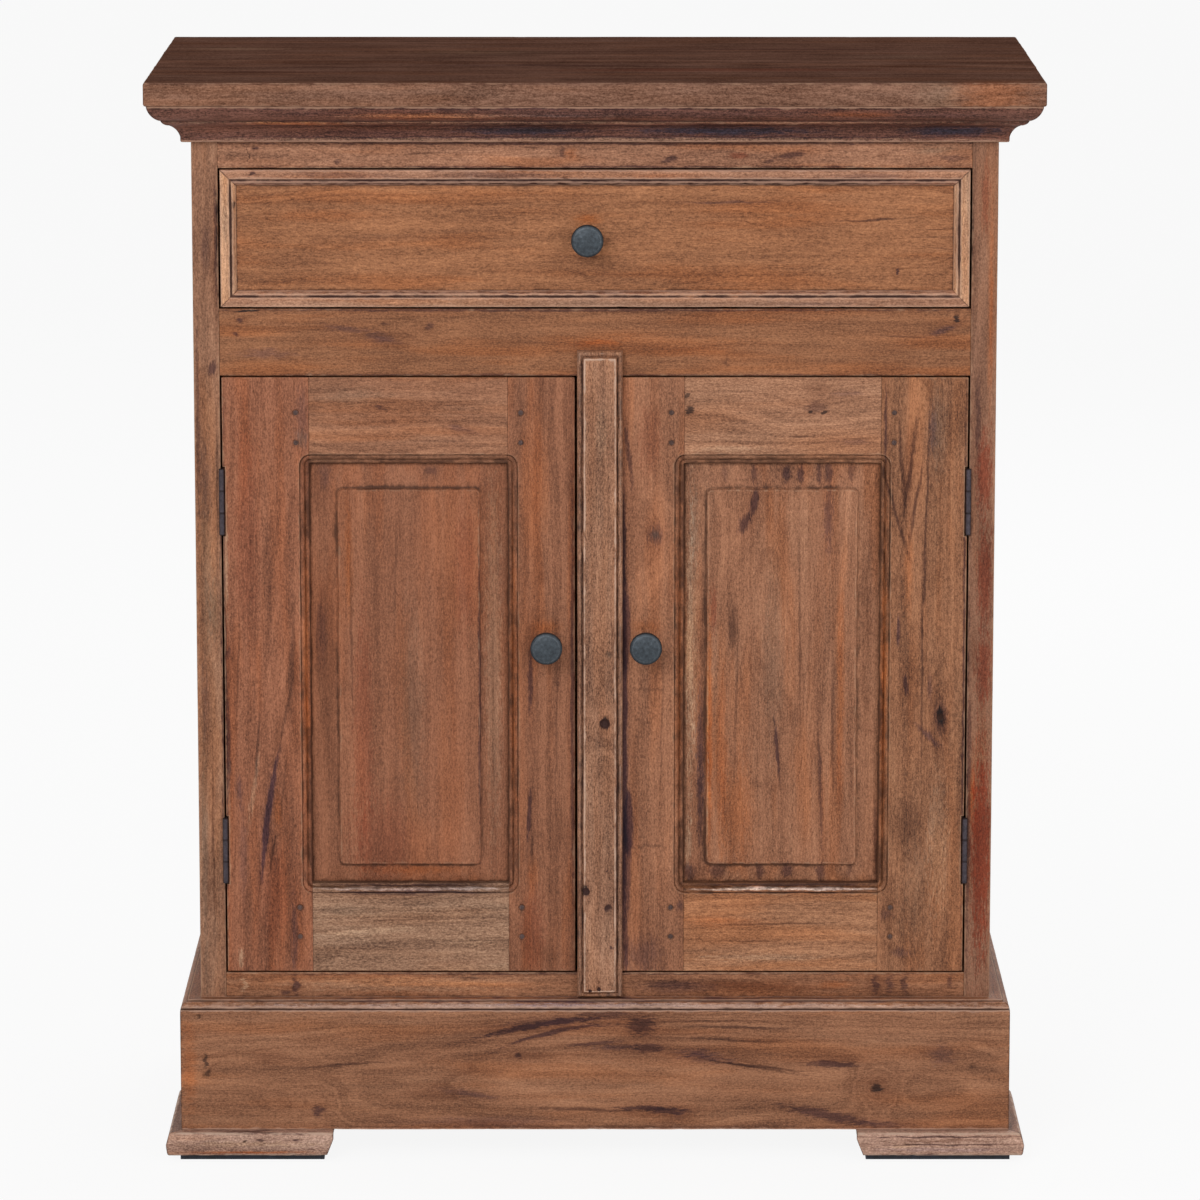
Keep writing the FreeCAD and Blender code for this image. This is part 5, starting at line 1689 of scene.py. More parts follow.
@dataclass
class Cornice:
    """The moulding under the top, mitred at the front corners.

    bow is how far its curves stand out from a straight slope, as a share.
    """

    out: float = 38.0
    height: float = 36.0
    bow: float = 0.62

    def outline(self) -> list[Pair]:
        """The section: a lip, a flat quarter round, a bead, a shallow hollow and a lip.

        Returns:
            Its corners, out and down, round the loop.
        """
        bow = self.bow
        ovolo = bowed((self.out, 1.2), (27 + 11 * bow, 1.2 + 13 * bow), (27.0, 14.2), 9)
        bead = bowed((26.0, 14.2), (20 + 6 * bow, 14.2 + 5 * bow), (20.0, 19.2))
        cove = bowed((18.8, 19.2), (18.8 - 9.8 * bow, 19.2 + 11.4 * (1 - bow)), (9.0, 30.6), 9)
        return ([(0.0, 0.0), (self.out, 0.0)] + ovolo + bead + cove
                + [(9.0, 34.6), (8.2, 35.7), (6.6, self.height), (0.0, self.height)])

    def build(self) -> None:
        """Makes the front run and the two side runs."""
        looks = {"ring": 4.0, "warm": 0.4, "grey": 0.4, "worn": 0.9, "grime": 0.9,
                 "rough": 0.5, "worn_colour": (164, 126, 104), "fleck": 0.6}
        # The front's colour is darkened with painted shade, as its ovolo and cove face down.
        front = WoodFinish("cornice front wood", Grain.ACROSS_FRONT, (108, 71, 59), 2.1, 1.7,
                           marks=CORNICE_MARKS, **looks).make()
        side = WoodFinish("cornice side wood", Grain.ACROSS_SIDE, (116, 77, 61), 2.7, 1.5,
                          **looks).make()
        for name, run in body_runs(CORNICE_TOP).items():
            make_piece(f"cornice_{name}_run", Moulding(self.outline(), run, 21, 5.0).skin(),
                       front if name == "front" else side, "carcass", "moulding_wood",
                       f"cornice_{name}")


@dataclass
class Plinth:
    """Three boards round the foot of the body, with a beaded top edge."""

    out: float = 18.5
    height: float = 124.0

    def outline(self) -> list[Pair]:
        """The section: a ledge, a dropped bead, a quirk and the flat face.

        Returns:
            Its corners, out and down, round the loop.
        """
        return ([(0.0, 0.0), (12.0, 0.0)] + arc((12.0, 1.5), (12.0, 7.5), (17.9, 7.5))
                + [(16.5, 7.5), (16.5, 8.7), (self.out, 8.7), (self.out, 12.0),
                   (self.out, self.height), (0.0, self.height)])

    def build(self) -> None:
        """Makes the front board and the two side boards."""
        dents = (Dent(-371.5, 137.0, 2.4, 1.6), Dent(-363.1, 81.2, 4.0, 0.8, 0.8),
                 Dent(354.2, 90.0, 4.2, 0.8, 0.75), Dent(264.1, 68.8, 3.6, 1.6, 0.8),
                 Dent(-72.8, 100.2, 2.0, 0.8))
        front = WoodFinish("plinth front wood", Grain.ACROSS_FRONT, (147, 101, 74), 3.4,
                           ring=6.0, bands=0.65, veins=0.45, pith=(60.0, -120.0, 70.0),
                           bends=0.11, warm=0.45, grey=0.45, worn=0.75, rough=0.48,
                           worn_colour=(196, 156, 134), marks=PLINTH_MARKS).make()
        side = WoodFinish("plinth side wood", Grain.ACROSS_SIDE, (140, 98, 76), 3.9, 1.05,
                          ring=6.0, pith=(450.0, 0.0, 60.0), bends=0.08, worn=0.75).make()
        for name, run in body_runs(PLINTH_Z[1]).items():
            first = name == "front"
            skin = Moulding(self.outline(), run, 31, 4.0, 0.4, dents if first else ()).skin()
            make_piece(f"plinth_{name}_board", skin, front if first else side, "carcass",
                       "frame_wood", f"plinth_{name}")


@dataclass
class Feet:
    """Low moulded feet: mitred pairs in front, and a side piece and a block behind."""

    corner: float = 388.0
    length: float = 157.0
    out: float = 14.0
    deep: float = 60.0
    z: Pair = (6.0, 28.5)

    def outline(self) -> list[Pair]:
        """The section: a rounded shoulder, a worn slope and a rounded toe.

        Returns:
            Its corners, out and down, round the loop.
        """
        inner, high = self.out - self.deep, self.z[1] - self.z[0]
        return ([(inner, 0.0)] + arc((9.0, 0.0), (9.0, 2.5), (11.5, 2.5), 5)
                + [(self.out, 11.5)] + arc((13.0, 19.5), (10.0, 19.5), (10.0, high), 5)
                + [(inner, high)])

    def build(self) -> None:
        """Makes the four feet."""
        looks = {"contrast": 1.1, "ring": 5.0, "grey": 0.6, "worn": 0.9,
                 "worn_colour": (196, 166, 146), "grime": 0.95}
        across = WoodFinish("foot wood", Grain.ACROSS_FRONT, (180, 143, 124), 4.2,
                            marks=FOOT_MARKS, **looks).make()
        backward = WoodFinish("foot side wood", Grain.ACROSS_SIDE, (140, 106, 90), 4.9,
                              **looks).make()
        top = self.z[1]
        front_y = FACE_Y - Plinth.out
        inner = self.corner + self.out - self.length
        for name, sign in (("left", -1.0), ("right", 1.0)):
            corner = (sign * self.corner, front_y, top)
            front = Run((sign * inner, front_y, top), corner, (0, -1, 0), (sign, -1, 0),
                        undercut=6.0)
            side = Run((corner[0], front_y - self.out + self.length, top), corner,
                       (sign, 0, 0), (sign, -1, 0), undercut=6.0)
            rear = Run((corner[0], REAR_Y - self.length, top), (corner[0], REAR_Y, top),
                       (sign, 0, 0), (sign, 0, 0), undercut=6.0)
            seed = 41 if sign < 0 else 45
            dents = (Dent(-327.1, 19.7, 1.6, 1.2),) if sign < 0 else ()
            for part, run, wood, node, holes in (
                    ("front_face", front, across, "front", dents),
                    ("front_return", side, backward, "front", ()),
                    ("rear_side", rear, backward, "rear", ())):
                skin = Moulding(self.outline(), run, seed, 3.0, 0.8, holes).skin()
                make_piece(f"foot_{name}_{part}", skin, wood, "carcass", "frame_wood",
                           f"foot_{name}_{node}")
            ends = sorted((sign * inner, sign * (self.corner + self.out - self.deep)))
            block = Board((ends[0], REAR_Y - self.deep, self.z[0]),
                          (ends[1], REAR_Y, self.z[1]), seed + 3, (1.2, 1.2, 1.0, 0.4),
                          Facing.BACK)
            make_piece(f"foot_{name}_rear_block", block.skin(), across, "carcass",
                       "frame_wood", f"foot_{name}_rear")
        dress_nodes(RubberFinish("pad rubber", (40, 43, 50)).make(), "foot_pads")


@dataclass
class SideFrames:
    """The two panelled sides of the body. Their front edges show beside the doors."""

    stile: float = 60.0
    sight_z: Pair = (212.5, 887.0)
    panel_y: Pair = (-363.5, -350.1)

    def side(self, name: str, sign: float) -> None:
        """Makes the boards of one side.

        Args:
            name: left or right.
            sign: -1 for left and 1 for right.
        """
        front = WoodFinish(f"{name} front stile wood", Grain.UP_FRONT,
                           (150, 107, 82) if sign < 0 else (139, 98, 76), 5.1 + sign, 0.9,
                           ring=5.0, pith=(sign * 430.0, 0.0, 0.0), bends=0.02,
                           grey=0.55 if sign < 0 else 0.3, worn=0.55,
                           marks=LEFT_STILE_MARKS if sign < 0 else RIGHT_STILE_MARKS)
        rear = WoodFinish(f"{name} side stile wood", Grain.UP_SIDE, (136, 92, 70),
                          6.3 + sign, ring=6.0, pith=(sign * 460.0, 180.0, 0.0), bends=0.03)
        rail = WoodFinish(f"{name} side rail wood", Grain.ACROSS_SIDE, (142, 97, 73),
                          7.7 + sign, 1.05, ring=6.0, pith=(sign * 470.0, 20.0, 160.0),
                          bends=0.06)
        panel = WoodFinish(f"{name} side panel wood", Grain.UP_SIDE, (140, 92, 68),
                           8.9 + sign, 1.1, ring=9.0, pith=(sign * 440.0, 20.0, 520.0),
                           bends=0.07)
        facing = Facing.LEFT if sign < 0 else Facing.RIGHT
        x0, x1 = sorted((sign * HALF_OPENING, sign * HALF_BODY))
        inner = (FACE_Y + self.stile, REAR_Y - self.stile)
        for part, wood, (y0, y1), ease, seed, step in (
                ("front", front, (FACE_Y, inner[0]), (1.2, 0.6), 51, 6.0),
                ("rear", rear, (inner[1], REAR_Y), (0.6, 1.0), 53, 8.0)):
            board = Board((x0, y0, PLINTH_Z[0]), (x1, y1, CORNICE_TOP), seed,
                          (*(ease if sign > 0 else ease[::-1]), 0.5, 0.4), facing, step)
            make_piece(f"{name}_{part}_stile_board", board.skin(), wood.make(), "carcass",
                       "frame_wood", f"{name}_{part}_stile")
        rails = [Board((x0, inner[0], z0), (x1, inner[1], z1), seed, (TIGHT, TIGHT, *ease),
                       facing, 7.0).skin()
                 for z0, z1, seed, ease in (
                     (RAIL_FOOT_Z, self.sight_z[0], 55, (0.4, 0.8)),
                     (self.sight_z[1], CORNICE_TOP, 57, (0.8, 0.4)))]
        make_piece(f"{name}_side_rail_pair", joined(rails), rail.make(), "carcass",
                   "frame_wood", f"{name}_side_rails")
        across = sorted(sign * y for y in inner)
        raised = RaisedPanel((*across, *self.sight_z), (24.0,) * 4, 59)
        make_piece(f"{name}_side_raised_panel", raised.skin(*self.panel_y, facing, 8.0, 9.0),
                   panel.make(), "carcass", "panel_wood", f"{name}_side_panel")

    def build(self) -> None:
        """Makes both sides."""
        self.side("left", -1.0)
        self.side("right", 1.0)


@dataclass
class FrontRails:
    """The three rails of the front, between the sides."""

    top_z: Pair = (932.5, CORNICE_TOP)
    middle_z: Pair = (740.5, 802.5)
    bottom_z: Pair = (RAIL_FOOT_Z, 175.5)

    def build(self) -> None:
        """Makes the three rails."""
        rows = (("top", self.top_z, (158, 111, 85), 9.1, TOP_RAIL_MARKS, (0.9, 0.4), 61),
                ("middle", self.middle_z, (142, 94, 65), 9.7, MIDDLE_RAIL_MARKS, (0.8, 0.8),
                 63),
                ("bottom", self.bottom_z, (152, 104, 76), 10.3, BOTTOM_RAIL_MARKS,
                 (0.5, 1.3), 65))
        for part, (z0, z1), colour, seed, marks, ease, form in rows:
            finish = WoodFinish(f"front_{part}_rail wood", Grain.ACROSS_FRONT, colour, seed,
                                ring=6.0, pith=(30.0, -110.0, z0 + 10.0), bends=0.06,
                                warm=0.6, worn=0.7, marks=marks)
            low = part == "bottom"
            board = Board((-HALF_OPENING, FACE_Y, z0), (HALF_OPENING, RAIL_BACK_Y, z1), form,
                          (TIGHT, TIGHT, *ease), step=5.0,
                          upward=([PLINTH_Z[1] + up for up in (0.0, 1.0, 2.5, 4.5)]
                                  if low else ()),
                          workers=(self.ledge_grime,) if low else ())
            make_piece(f"front_{part}_rail_board", board.skin(), finish.make(), "carcass",
                       "frame_wood", f"front_{part}_rail")

    @staticmethod
    def ledge_grime(x: Array, z: Array) -> Relief:
        """Grime that has settled where the bottom rail meets the plinth's ledge."""
        empty = np.zeros(len(x))
        return Relief(empty, empty, 0.75 * np.exp(-np.abs(z - PLINTH_Z[1]) / 2.0))


@dataclass
class Knob:
    """A turned, blackened iron knob with its stud and a nut behind."""

    name: str
    node: str
    body: str
    x: float
    z: float
    seat_y: float
    through: float
    seed: int
    stand: float = 27.0

    def profile(self) -> list[Pair]:
        """Radius and y from the domed front, round the rim, down the neck to the stud.

        Returns:
            The points, front pole first.
        """
        front = self.seat_y - self.stand
        dome = [(15.0 * math.sin(t), front + 3.0 * (1 - math.cos(t)))
                for t in np.linspace(0.0, math.pi / 2, 14)]
        rim = [(15.0, front + 3.0), (14.93, front + 3.6), (14.6, front + 4.6),
               (14.93, front + 5.8), (15.0, front + 6.6), (14.7, front + 7.0)]
        back = [(4.5 + 10.2 * (1 - math.sin(t)), front + 14.0 - 7.0 * math.cos(t))
                for t in np.linspace(0.08, math.pi / 2, 10)]
        base = [(4.5, self.seat_y - 3.2), (5.2, self.seat_y - 2.6), (6.7, self.seat_y - 2.4),
                (7.0, self.seat_y - 1.8), (7.0, self.seat_y), (2.5, self.seat_y)]
        end = self.seat_y + self.through + 6.0
        tail = [(2.5, end - 0.6), (1.9, end), (0.0, end)]
        return dome[:-1] + rim + back + base + tail

    def nut(self) -> Skin:
        """A six-sided nut: a turned solid with six points round its axis.

        Returns:
            Its skin.
        """
        y0 = self.seat_y + self.through
        rows = [(0.0, y0), (5.4, y0), (5.4, y0 + 3.2), (4.7, y0 + 4.0), (0.0, y0 + 4.0)]
        return turned(rows, (self.x, self.z), 6, 0)

    def build(self, iron: Material) -> None:
        """Makes the knob in place of its solid.

        Args:
            iron: Its material.
        """
        skin = turned(self.profile(), (self.x, self.z), 72, self.seed, 0.22)
        away = np.hypot(skin.points[:, 0] - self.x, skin.points[:, 2] - self.z)
        front = skin.points[:, 1] < self.seat_y - 19.0
        # rim lightens a ring near the dome's edge: rubbed iron and a painted highlight.
        skin.rim = front * np.exp(-np.abs(away - 12.2) / 0.8) * 0.4
        # shade darkens the knob's side and back: painted shade.
        skin.shade = np.clip((away - 12.9) / 1.2, 0, 1) * 0.8
        make_piece(self.name, joined([skin, self.nut()]), iron, self.body, "black_iron",
                   self.node, crease=50.0)


@dataclass
class Drawer:
    """The drawer: a front with a mitred moulding, over a plain box."""

    half: float = 343.9
    z: Pair = (804.0, 931.0)
    front_y: float = -168.5
    width: float = 15.0

    def outline(self) -> list[Pair]:
        """The stick's section, inward from its outer edge and deep from its face.

        A broad band, a quirk and a bead that rolls down to the drawer front.

        Returns:
            Its corners round the loop.
        """
        bead = bowed((10.3, 1.7), (12.4, 1.9), (15.0, 5.5), 9)
        return ([(0.0, 0.9), (0.35, 0.3), (1.1, 0.0), (8.0, 0.0), (9.0, 0.5), (9.4, 2.2),
                 (10.0, 2.2)] + bead + [(15.0, 6.0), (0.0, 6.0)])

    def sticks(self) -> list[tuple[str, Skin]]:
        """The four mitred sticks, each along its own side of the front.

        Returns:
            Name and skin of each stick.
        """
        half, (z0, z1), y = self.half, self.z, self.front_y - 6.0
        sides = {"bottom": ((-half, z0), (half, z0)), "top": ((-half, z1), (half, z1)),
                 "left": ((-half, z0), (-half, z1)), "right": ((half, z0), (half, z1))}
        made = []
        for count, (name, ends) in enumerate(sides.items()):
            inward = [(-math.copysign(1, x), 0, 1 if z == z0 else -1) for x, z in ends]
            start, end = ((x, y, z) for x, z in ends)
            run = Run(start, end, *inward, deep=(0, 1, 0))
            made.append((name, Moulding(self.outline(), run, 71 + count, 4.0, 0.35).skin()))
        return made

    def face_grime_and_shade(self, x: Array, z: Array) -> Relief:
        """Grime and painted shade inside the moulding, darkest against it.

        Args:
            x: Places along X.
            z: Their heights.

        Returns:
            The grime and painted shade there.
        """
        inner = (-self.half + self.width, self.half - self.width, self.z[0] + self.width,
                 self.z[1] - self.width)
        inside = -box_distance(x, z, inner, 0.5)
        # near is a dark line in the corner, grime and painted shade; soft is a painted shadow
        # of the moulding, fading over about 5 mm.
        near = np.exp(-np.maximum(inside, 0) / 1.3) * (inside > -3)
        soft = 0.35 * np.exp(-np.maximum(inside, 0) / 5.0)
        return Relief(np.zeros(len(x)), np.zeros(len(x)), np.maximum(near, soft) * 0.95)

    def build(self, iron: Material) -> None:
        """Makes the front, its moulding and knob, and dresses the box.

        Args:
            iron: The knob's material.
        """
        z0, z1 = self.z
        inset = self.half - self.width
        face = WoodFinish("drawer front wood", Grain.ACROSS_FRONT, (156, 104, 71), 12.4, 0.85,
                          ring=5.0, pith=(40.0, -205.0, 862.0), bends=0.07, grey=0.15,
                          fleck=0.55, rough=0.44, marks=DRAWER_MARKS)
        board = Board((-self.half, self.front_y, z0), (self.half, -152.5, z1), 75,
                      (0.8,) * 4, step=5.0, across=round_lines((-inset, inset), 3.0, 0.8),
                      upward=round_lines((z0 + self.width, z1 - self.width), 3.0, 0.8),
                      workers=(self.face_grime_and_shade,), sway=0.3)
        make_piece("drawer_front_board", board.skin(), face.make(), "drawer", "panel_wood",
                   "drawer_front")
        looks = {"contrast": 0.9, "ring": 5.0, "worn": 0.55, "grime": 0.95}
        level = WoodFinish("drawer moulding wood", Grain.ACROSS_FRONT, (172, 124, 97), 13.2,
                           grey=0.5, grime_and_shade_colour=(58, 34, 32), worn_colour=(204, 162, 138),
                           marks=LEVEL_MOULDING_MARKS, **looks).make()
        upright = WoodFinish("drawer upright moulding wood", Grain.UP_FRONT, (188, 144, 114),
                             13.9, grey=0.6, grime_and_shade_colour=(62, 38, 32),
                             worn_colour=(198, 158, 132), marks=UPRIGHT_MOULDING_MARKS,
                             **looks).make()
        for name, skin in self.sticks():
            make_piece(f"drawer_moulding_{name}", skin,
                       level if name in ("bottom", "top") else upright, "drawer",
                       "moulding_wood", "drawer_mouldings")
        Knob("drawer_front_knob", "drawer_knob", "drawer", -7.0, 867.5, self.front_y, 16.0,
             81).build(iron)
        looks = {"contrast": 0.8, "warm": 0.2, "grey": 0.2, "fleck": 0.3, "rough": 0.62}
        sides = WoodFinish("drawer side wood", Grain.ACROSS_SIDE, (176, 138, 104), 14.4,
                           ring=6.0, pith=(500.0, 0.0, 800.0), **looks).make()
        cross = WoodFinish("drawer back and bottom wood", Grain.ACROSS_FRONT, (172, 134, 102),
                           14.9, ring=8.0, pith=(30.0, -20.0, 700.0), **looks).make()
        dress_nodes(sides, "drawer_left_side", "drawer_right_side")
        dress_nodes(cross, "drawer_back", "drawer_bottom")


@dataclass
class DoorLooks:
    """The tints and marks of one door's boards."""

    hinge_stile: WoodFinish
    lock_stile: WoodFinish
    top_rail: WoodFinish
    bottom_rail: WoodFinish
    panel: WoodFinish


@dataclass
class Door:
    """A door of two stiles, two rails and a raised panel, with pegs and a knob."""

    name: str
    edges: Pair
    sight_x: Pair
    hinge_on_left: bool
    bevels: Four
    ragged: float
    knob_x: float
    seed: int
    looks: DoorLooks
    line: Four
    dents: tuple[Dent, ...] = ()

    def sight(self) -> Four:
        """The panel opening."""
        return (*self.sight_x, *SIGHT_Z)

    def hinge_edge(self) -> float:
        """The edge that carries the hinges."""
        return self.edges[0] if self.hinge_on_left else self.edges[1]

    def peg_places(self) -> list[Pair]:
        """Where the eight pegs stand."""
        return [(x, z) for x in (self.sight_x[0] - PEG_IN, self.sight_x[1] + PEG_IN)
                for z in PEG_Z]

    def peg_relief(self, x: Array, z: Array) -> Relief:
        """A shallow seat round each peg, and a dark line about it.

        Args:
            x: Places along X.
            z: Their heights.

        Returns:
            Depth and grime there.
        """
        depth, dark = np.zeros((2, len(x)))
        for px, pz in self.peg_places():
            away = np.hypot(x - px, z - pz)
            depth = np.maximum(depth, 0.75 * (1 - eased(away, 2.4, 3.3)))
            dark = np.maximum(dark, np.exp(-np.abs(away - 2.9) / 0.5))
        return Relief(depth, np.zeros(len(x)), dark)

    def hinge_relief(self, x: Array, z: Array) -> Relief:
        """Notches in the hinge edge that let the knuckles in, with chipped borders and painted
        shade inside.

        Args:
            x: Places along X.
            z: Their heights.

        Returns:
            Depth, wear, and painted shade in the notches there.
        """
        away = np.abs(x - self.hinge_edge())
        depth, dark, worn = np.zeros((3, len(x)))
        for start in HINGE_Z:
            beyond = np.abs(z - start - HINGE_LONG / 2) - 32.2
            notch = (1 - eased(away, 1.9, 2.6)) * (1 - eased(beyond, -0.3, 0.5))
            depth = np.maximum(depth, 3.4 * notch)
            # Each notch is darkened in full: painted shade in the pocket.
            dark = np.maximum(dark, notch)
            near = np.maximum(away - 2.4, beyond)
            worn = np.maximum(worn, np.exp(-np.abs(near - 0.6) / 0.9) * (near > 0))
        return Relief(depth, worn * (away < 12), dark)

    def stile(self, part: str) -> None:
        """Makes one stile, its inner edge moulded and its outer edge worn.

        Args:
            part: hinge or lock.
        """
        hinge = part == "hinge"
        on_left = hinge == self.hinge_on_left
        x0, x1 = ((self.edges[0], self.sight_x[0]) if on_left
                  else (self.sight_x[1], self.edges[1]))
        sticking = Sticking(self.sight(), self.seed)
        edge, side = (x1, -1.0) if on_left else (x0, 1.0)
        workers: list[Worker] = [sticking.relief, self.peg_relief]
        across = sticking.across_lines(edge, side)
        across += round_lines((edge + side * PEG_IN,), 3.6, 0.6)
        upward = round_lines((SIGHT_Z[0] - 6, SIGHT_Z[1] + 6), 7.5, 0.6)
        upward += round_lines(PEG_Z, 3.6, 0.6)
        if hinge:
            workers.append(self.hinge_relief)
            across += round_lines((self.hinge_edge(),), 4.0, 0.5)
            upward += round_lines([start + up for start in HINGE_Z
                                   for up in (0.0, HINGE_LONG)], 2.4, 0.6)
        finish = self.looks.hinge_stile if hinge else self.looks.lock_stile
        board = Board((x0, DOOR_FACE_Y, DOOR_Z[0]), (x1, DOOR_BACK_Y, DOOR_Z[1]),
                      self.seed + (1 if hinge else 2),
                      (*((1.5, 0.5) if on_left else (0.5, 1.5)), 0.8, 0.8), step=6.5,
                      across=across, upward=upward, workers=workers,
                      dents=tuple(dent for dent in self.dents if x0 < dent.x < x1))
        make_piece(f"{self.name}_{part}_stile_board", board.skin(), finish.make(), self.name,
                   "door_wood", f"{self.name}_{part}_stile")

    def rail(self, part: str) -> None:
        """Makes one rail, moulded along its inner edge.

        Args:
            part: bottom or top.
        """
        low = part == "bottom"
        z0, z1 = (DOOR_Z[0], SIGHT_Z[0]) if low else (SIGHT_Z[1], DOOR_Z[1])
        sticking = Sticking(self.sight(), self.seed)
        finish = self.looks.bottom_rail if low else self.looks.top_rail
        board = Board((self.sight_x[0], DOOR_FACE_Y, z0), (self.sight_x[1], DOOR_BACK_Y, z1),
                      self.seed + (3 if low else 4),
                      (TIGHT, TIGHT, *((0.8, 0.5) if low else (0.5, 0.8))), step=5.0,
                      across=round_lines(self.sight_x, 2.4, 0.6),
                      upward=sticking.across_lines(*((z1, -1.0) if low else (z0, 1.0))),
                      workers=(sticking.relief,))
        make_piece(f"{self.name}_{part}_rail_board", board.skin(), finish.make(), self.name,
                   "door_wood", f"{self.name}_{part}_rail")

    def pegs(self, finish: Material) -> None:
        """Makes the eight dark pegs, each a little domed and out of round.

        Args:
            finish: Their material.
        """
        profile = [(0.0, -174.6), (0.9, -174.58), (1.8, -174.5), (2.35, -174.3),
                   (2.6, -173.9), (2.6, -158.9), (0.0, -158.8)]
        skins = [turned(profile, centre, 20, self.seed + 20 + count, 0.12)
                 for count, centre in enumerate(self.peg_places())]
        make_piece(f"{self.name}_peg_set", joined(skins), finish, self.name, "door_wood",
                   f"{self.name}_pegs")

    def build(self, iron: Material, peg_wood: Material) -> None:
        """Makes the whole door.

        Args:
            iron: The knob's material.
            peg_wood: The pegs' material.
        """
        for part in ("hinge", "lock"):
            self.stile(part)
        for part in ("bottom", "top"):
            self.rail(part)
        panel = RaisedPanel(self.sight(), self.bevels, self.seed + 7, self.ragged,
                            line=self.line)
        make_piece(f"{self.name}_raised_panel",
                   panel.skin(*DOOR_PANEL_Y, Facing.FRONT, 8.0, 5.5), self.looks.panel.make(),
                   self.name, "panel_wood", f"{self.name}_panel")
        self.pegs(peg_wood)
        Knob(f"{self.name}_front_knob", f"{self.name}_knob", self.name, self.knob_x, KNOB_Z,
             DOOR_FACE_Y, 22.0, self.seed + 9).build(iron)


@dataclass
class CoverStrip:
    """The proud strip over the meeting of the doors, carried by the right door."""

    x: Pair = (-16.5, 25.5)
    z: Pair = (153.8, 764.5)
    face_y: float = -188.5

    def relief(self, x: Array, z: Array) -> Relief:
        """Depth by the distance in from the nearest border.

        A rounded outer bead, a dark quirk, and a raised face with a soft arris, so the
        four runs meet in mitres.

        Args:
            x: Places along X.
            z: Their heights.

        Returns:
            Depth, wear and grime there.
        """
        flat = on_face(x, z)
        drift = 0.45 * wander(flat, (9, 9, 22), 91)
        inside = np.stack([x - self.x[0], self.x[1] - x, z - self.z[0],
                           self.z[1] - z]).min(0)
        away = inside + drift
        bead = 4.5 + 3.0 - np.sqrt(np.clip(9.0 - (3.0 - np.clip(away, 0, 3)) ** 2, 0, 9))
        face = 1.5 - np.sqrt(np.clip(2.25 - (1.5 - np.clip(away - 5.5, 0, 1.5)) ** 2, 0, 3))
        depth = np.select([away < 4.0, away < 5.5], [bead, 5.7], face)
        quirk = np.exp(-np.abs(away - 4.8) / 0.7)
        crown = 0.55 * np.exp(-np.abs(away - 2.2) / 0.7)
        arris = 0.9 * np.exp(-np.abs(away - 6.9) / 0.8)
        uneven = 0.85 + 0.8 * wander(flat, 18, 95)
        return Relief(depth, np.maximum(crown, arris),
                      np.maximum(quirk * uneven, 0.4 * (away < 4.2)))

    def build(self) -> None:
        """Makes the strip."""
        shares = (0.0, 0.5, 1.2, 2.0, 3.0, 3.9, 4.1, 4.8, 5.4, 5.6, 6.1, 6.9, 7.6, 9.0)
        across = [self.x[0] + s for s in shares] + [self.x[1] - s for s in shares]
        upward = [self.z[0] + s for s in shares] + [self.z[1] - s for s in shares]
        finish = WoodFinish("cover strip wood", Grain.UP_FRONT, (150, 108, 84), 15.6, 1.2,
                            ring=4.5, pith=(3.0, -235.0, 390.0), bends=0.05, warm=0.3,
                            grey=0.6, worn=0.9, worn_colour=(206, 172, 150), grime=1.0,
                            grime_and_shade_colour=(60, 38, 34), fleck=0.8, marks=STRIP_MARKS)
        dents = (Dent(8.8, 416.0, 4.6, 2.6), Dent(-8.6, 256.5, 3.4, 1.8),
                 Dent(12.1, 240.4, 3.4, 1.0), Dent(12.0, 481.1, 3.6, 0.7, 0.5),
                 Dent(3.7, 162.6, 1.6, 1.2), Dent(-4.6, 161.0, 1.6, 1.2))
        board = Board((self.x[0], self.face_y, self.z[0]), (self.x[1], DOOR_FACE_Y, self.z[1]),
                      93, (0.5,) * 4, step=4.0, across=across, upward=upward,
                      workers=(self.relief,), dents=dents)
        make_piece("cover_strip_moulding", board.skin(), finish.make(), "right_door",
                   "moulding_wood", "cover_strip")


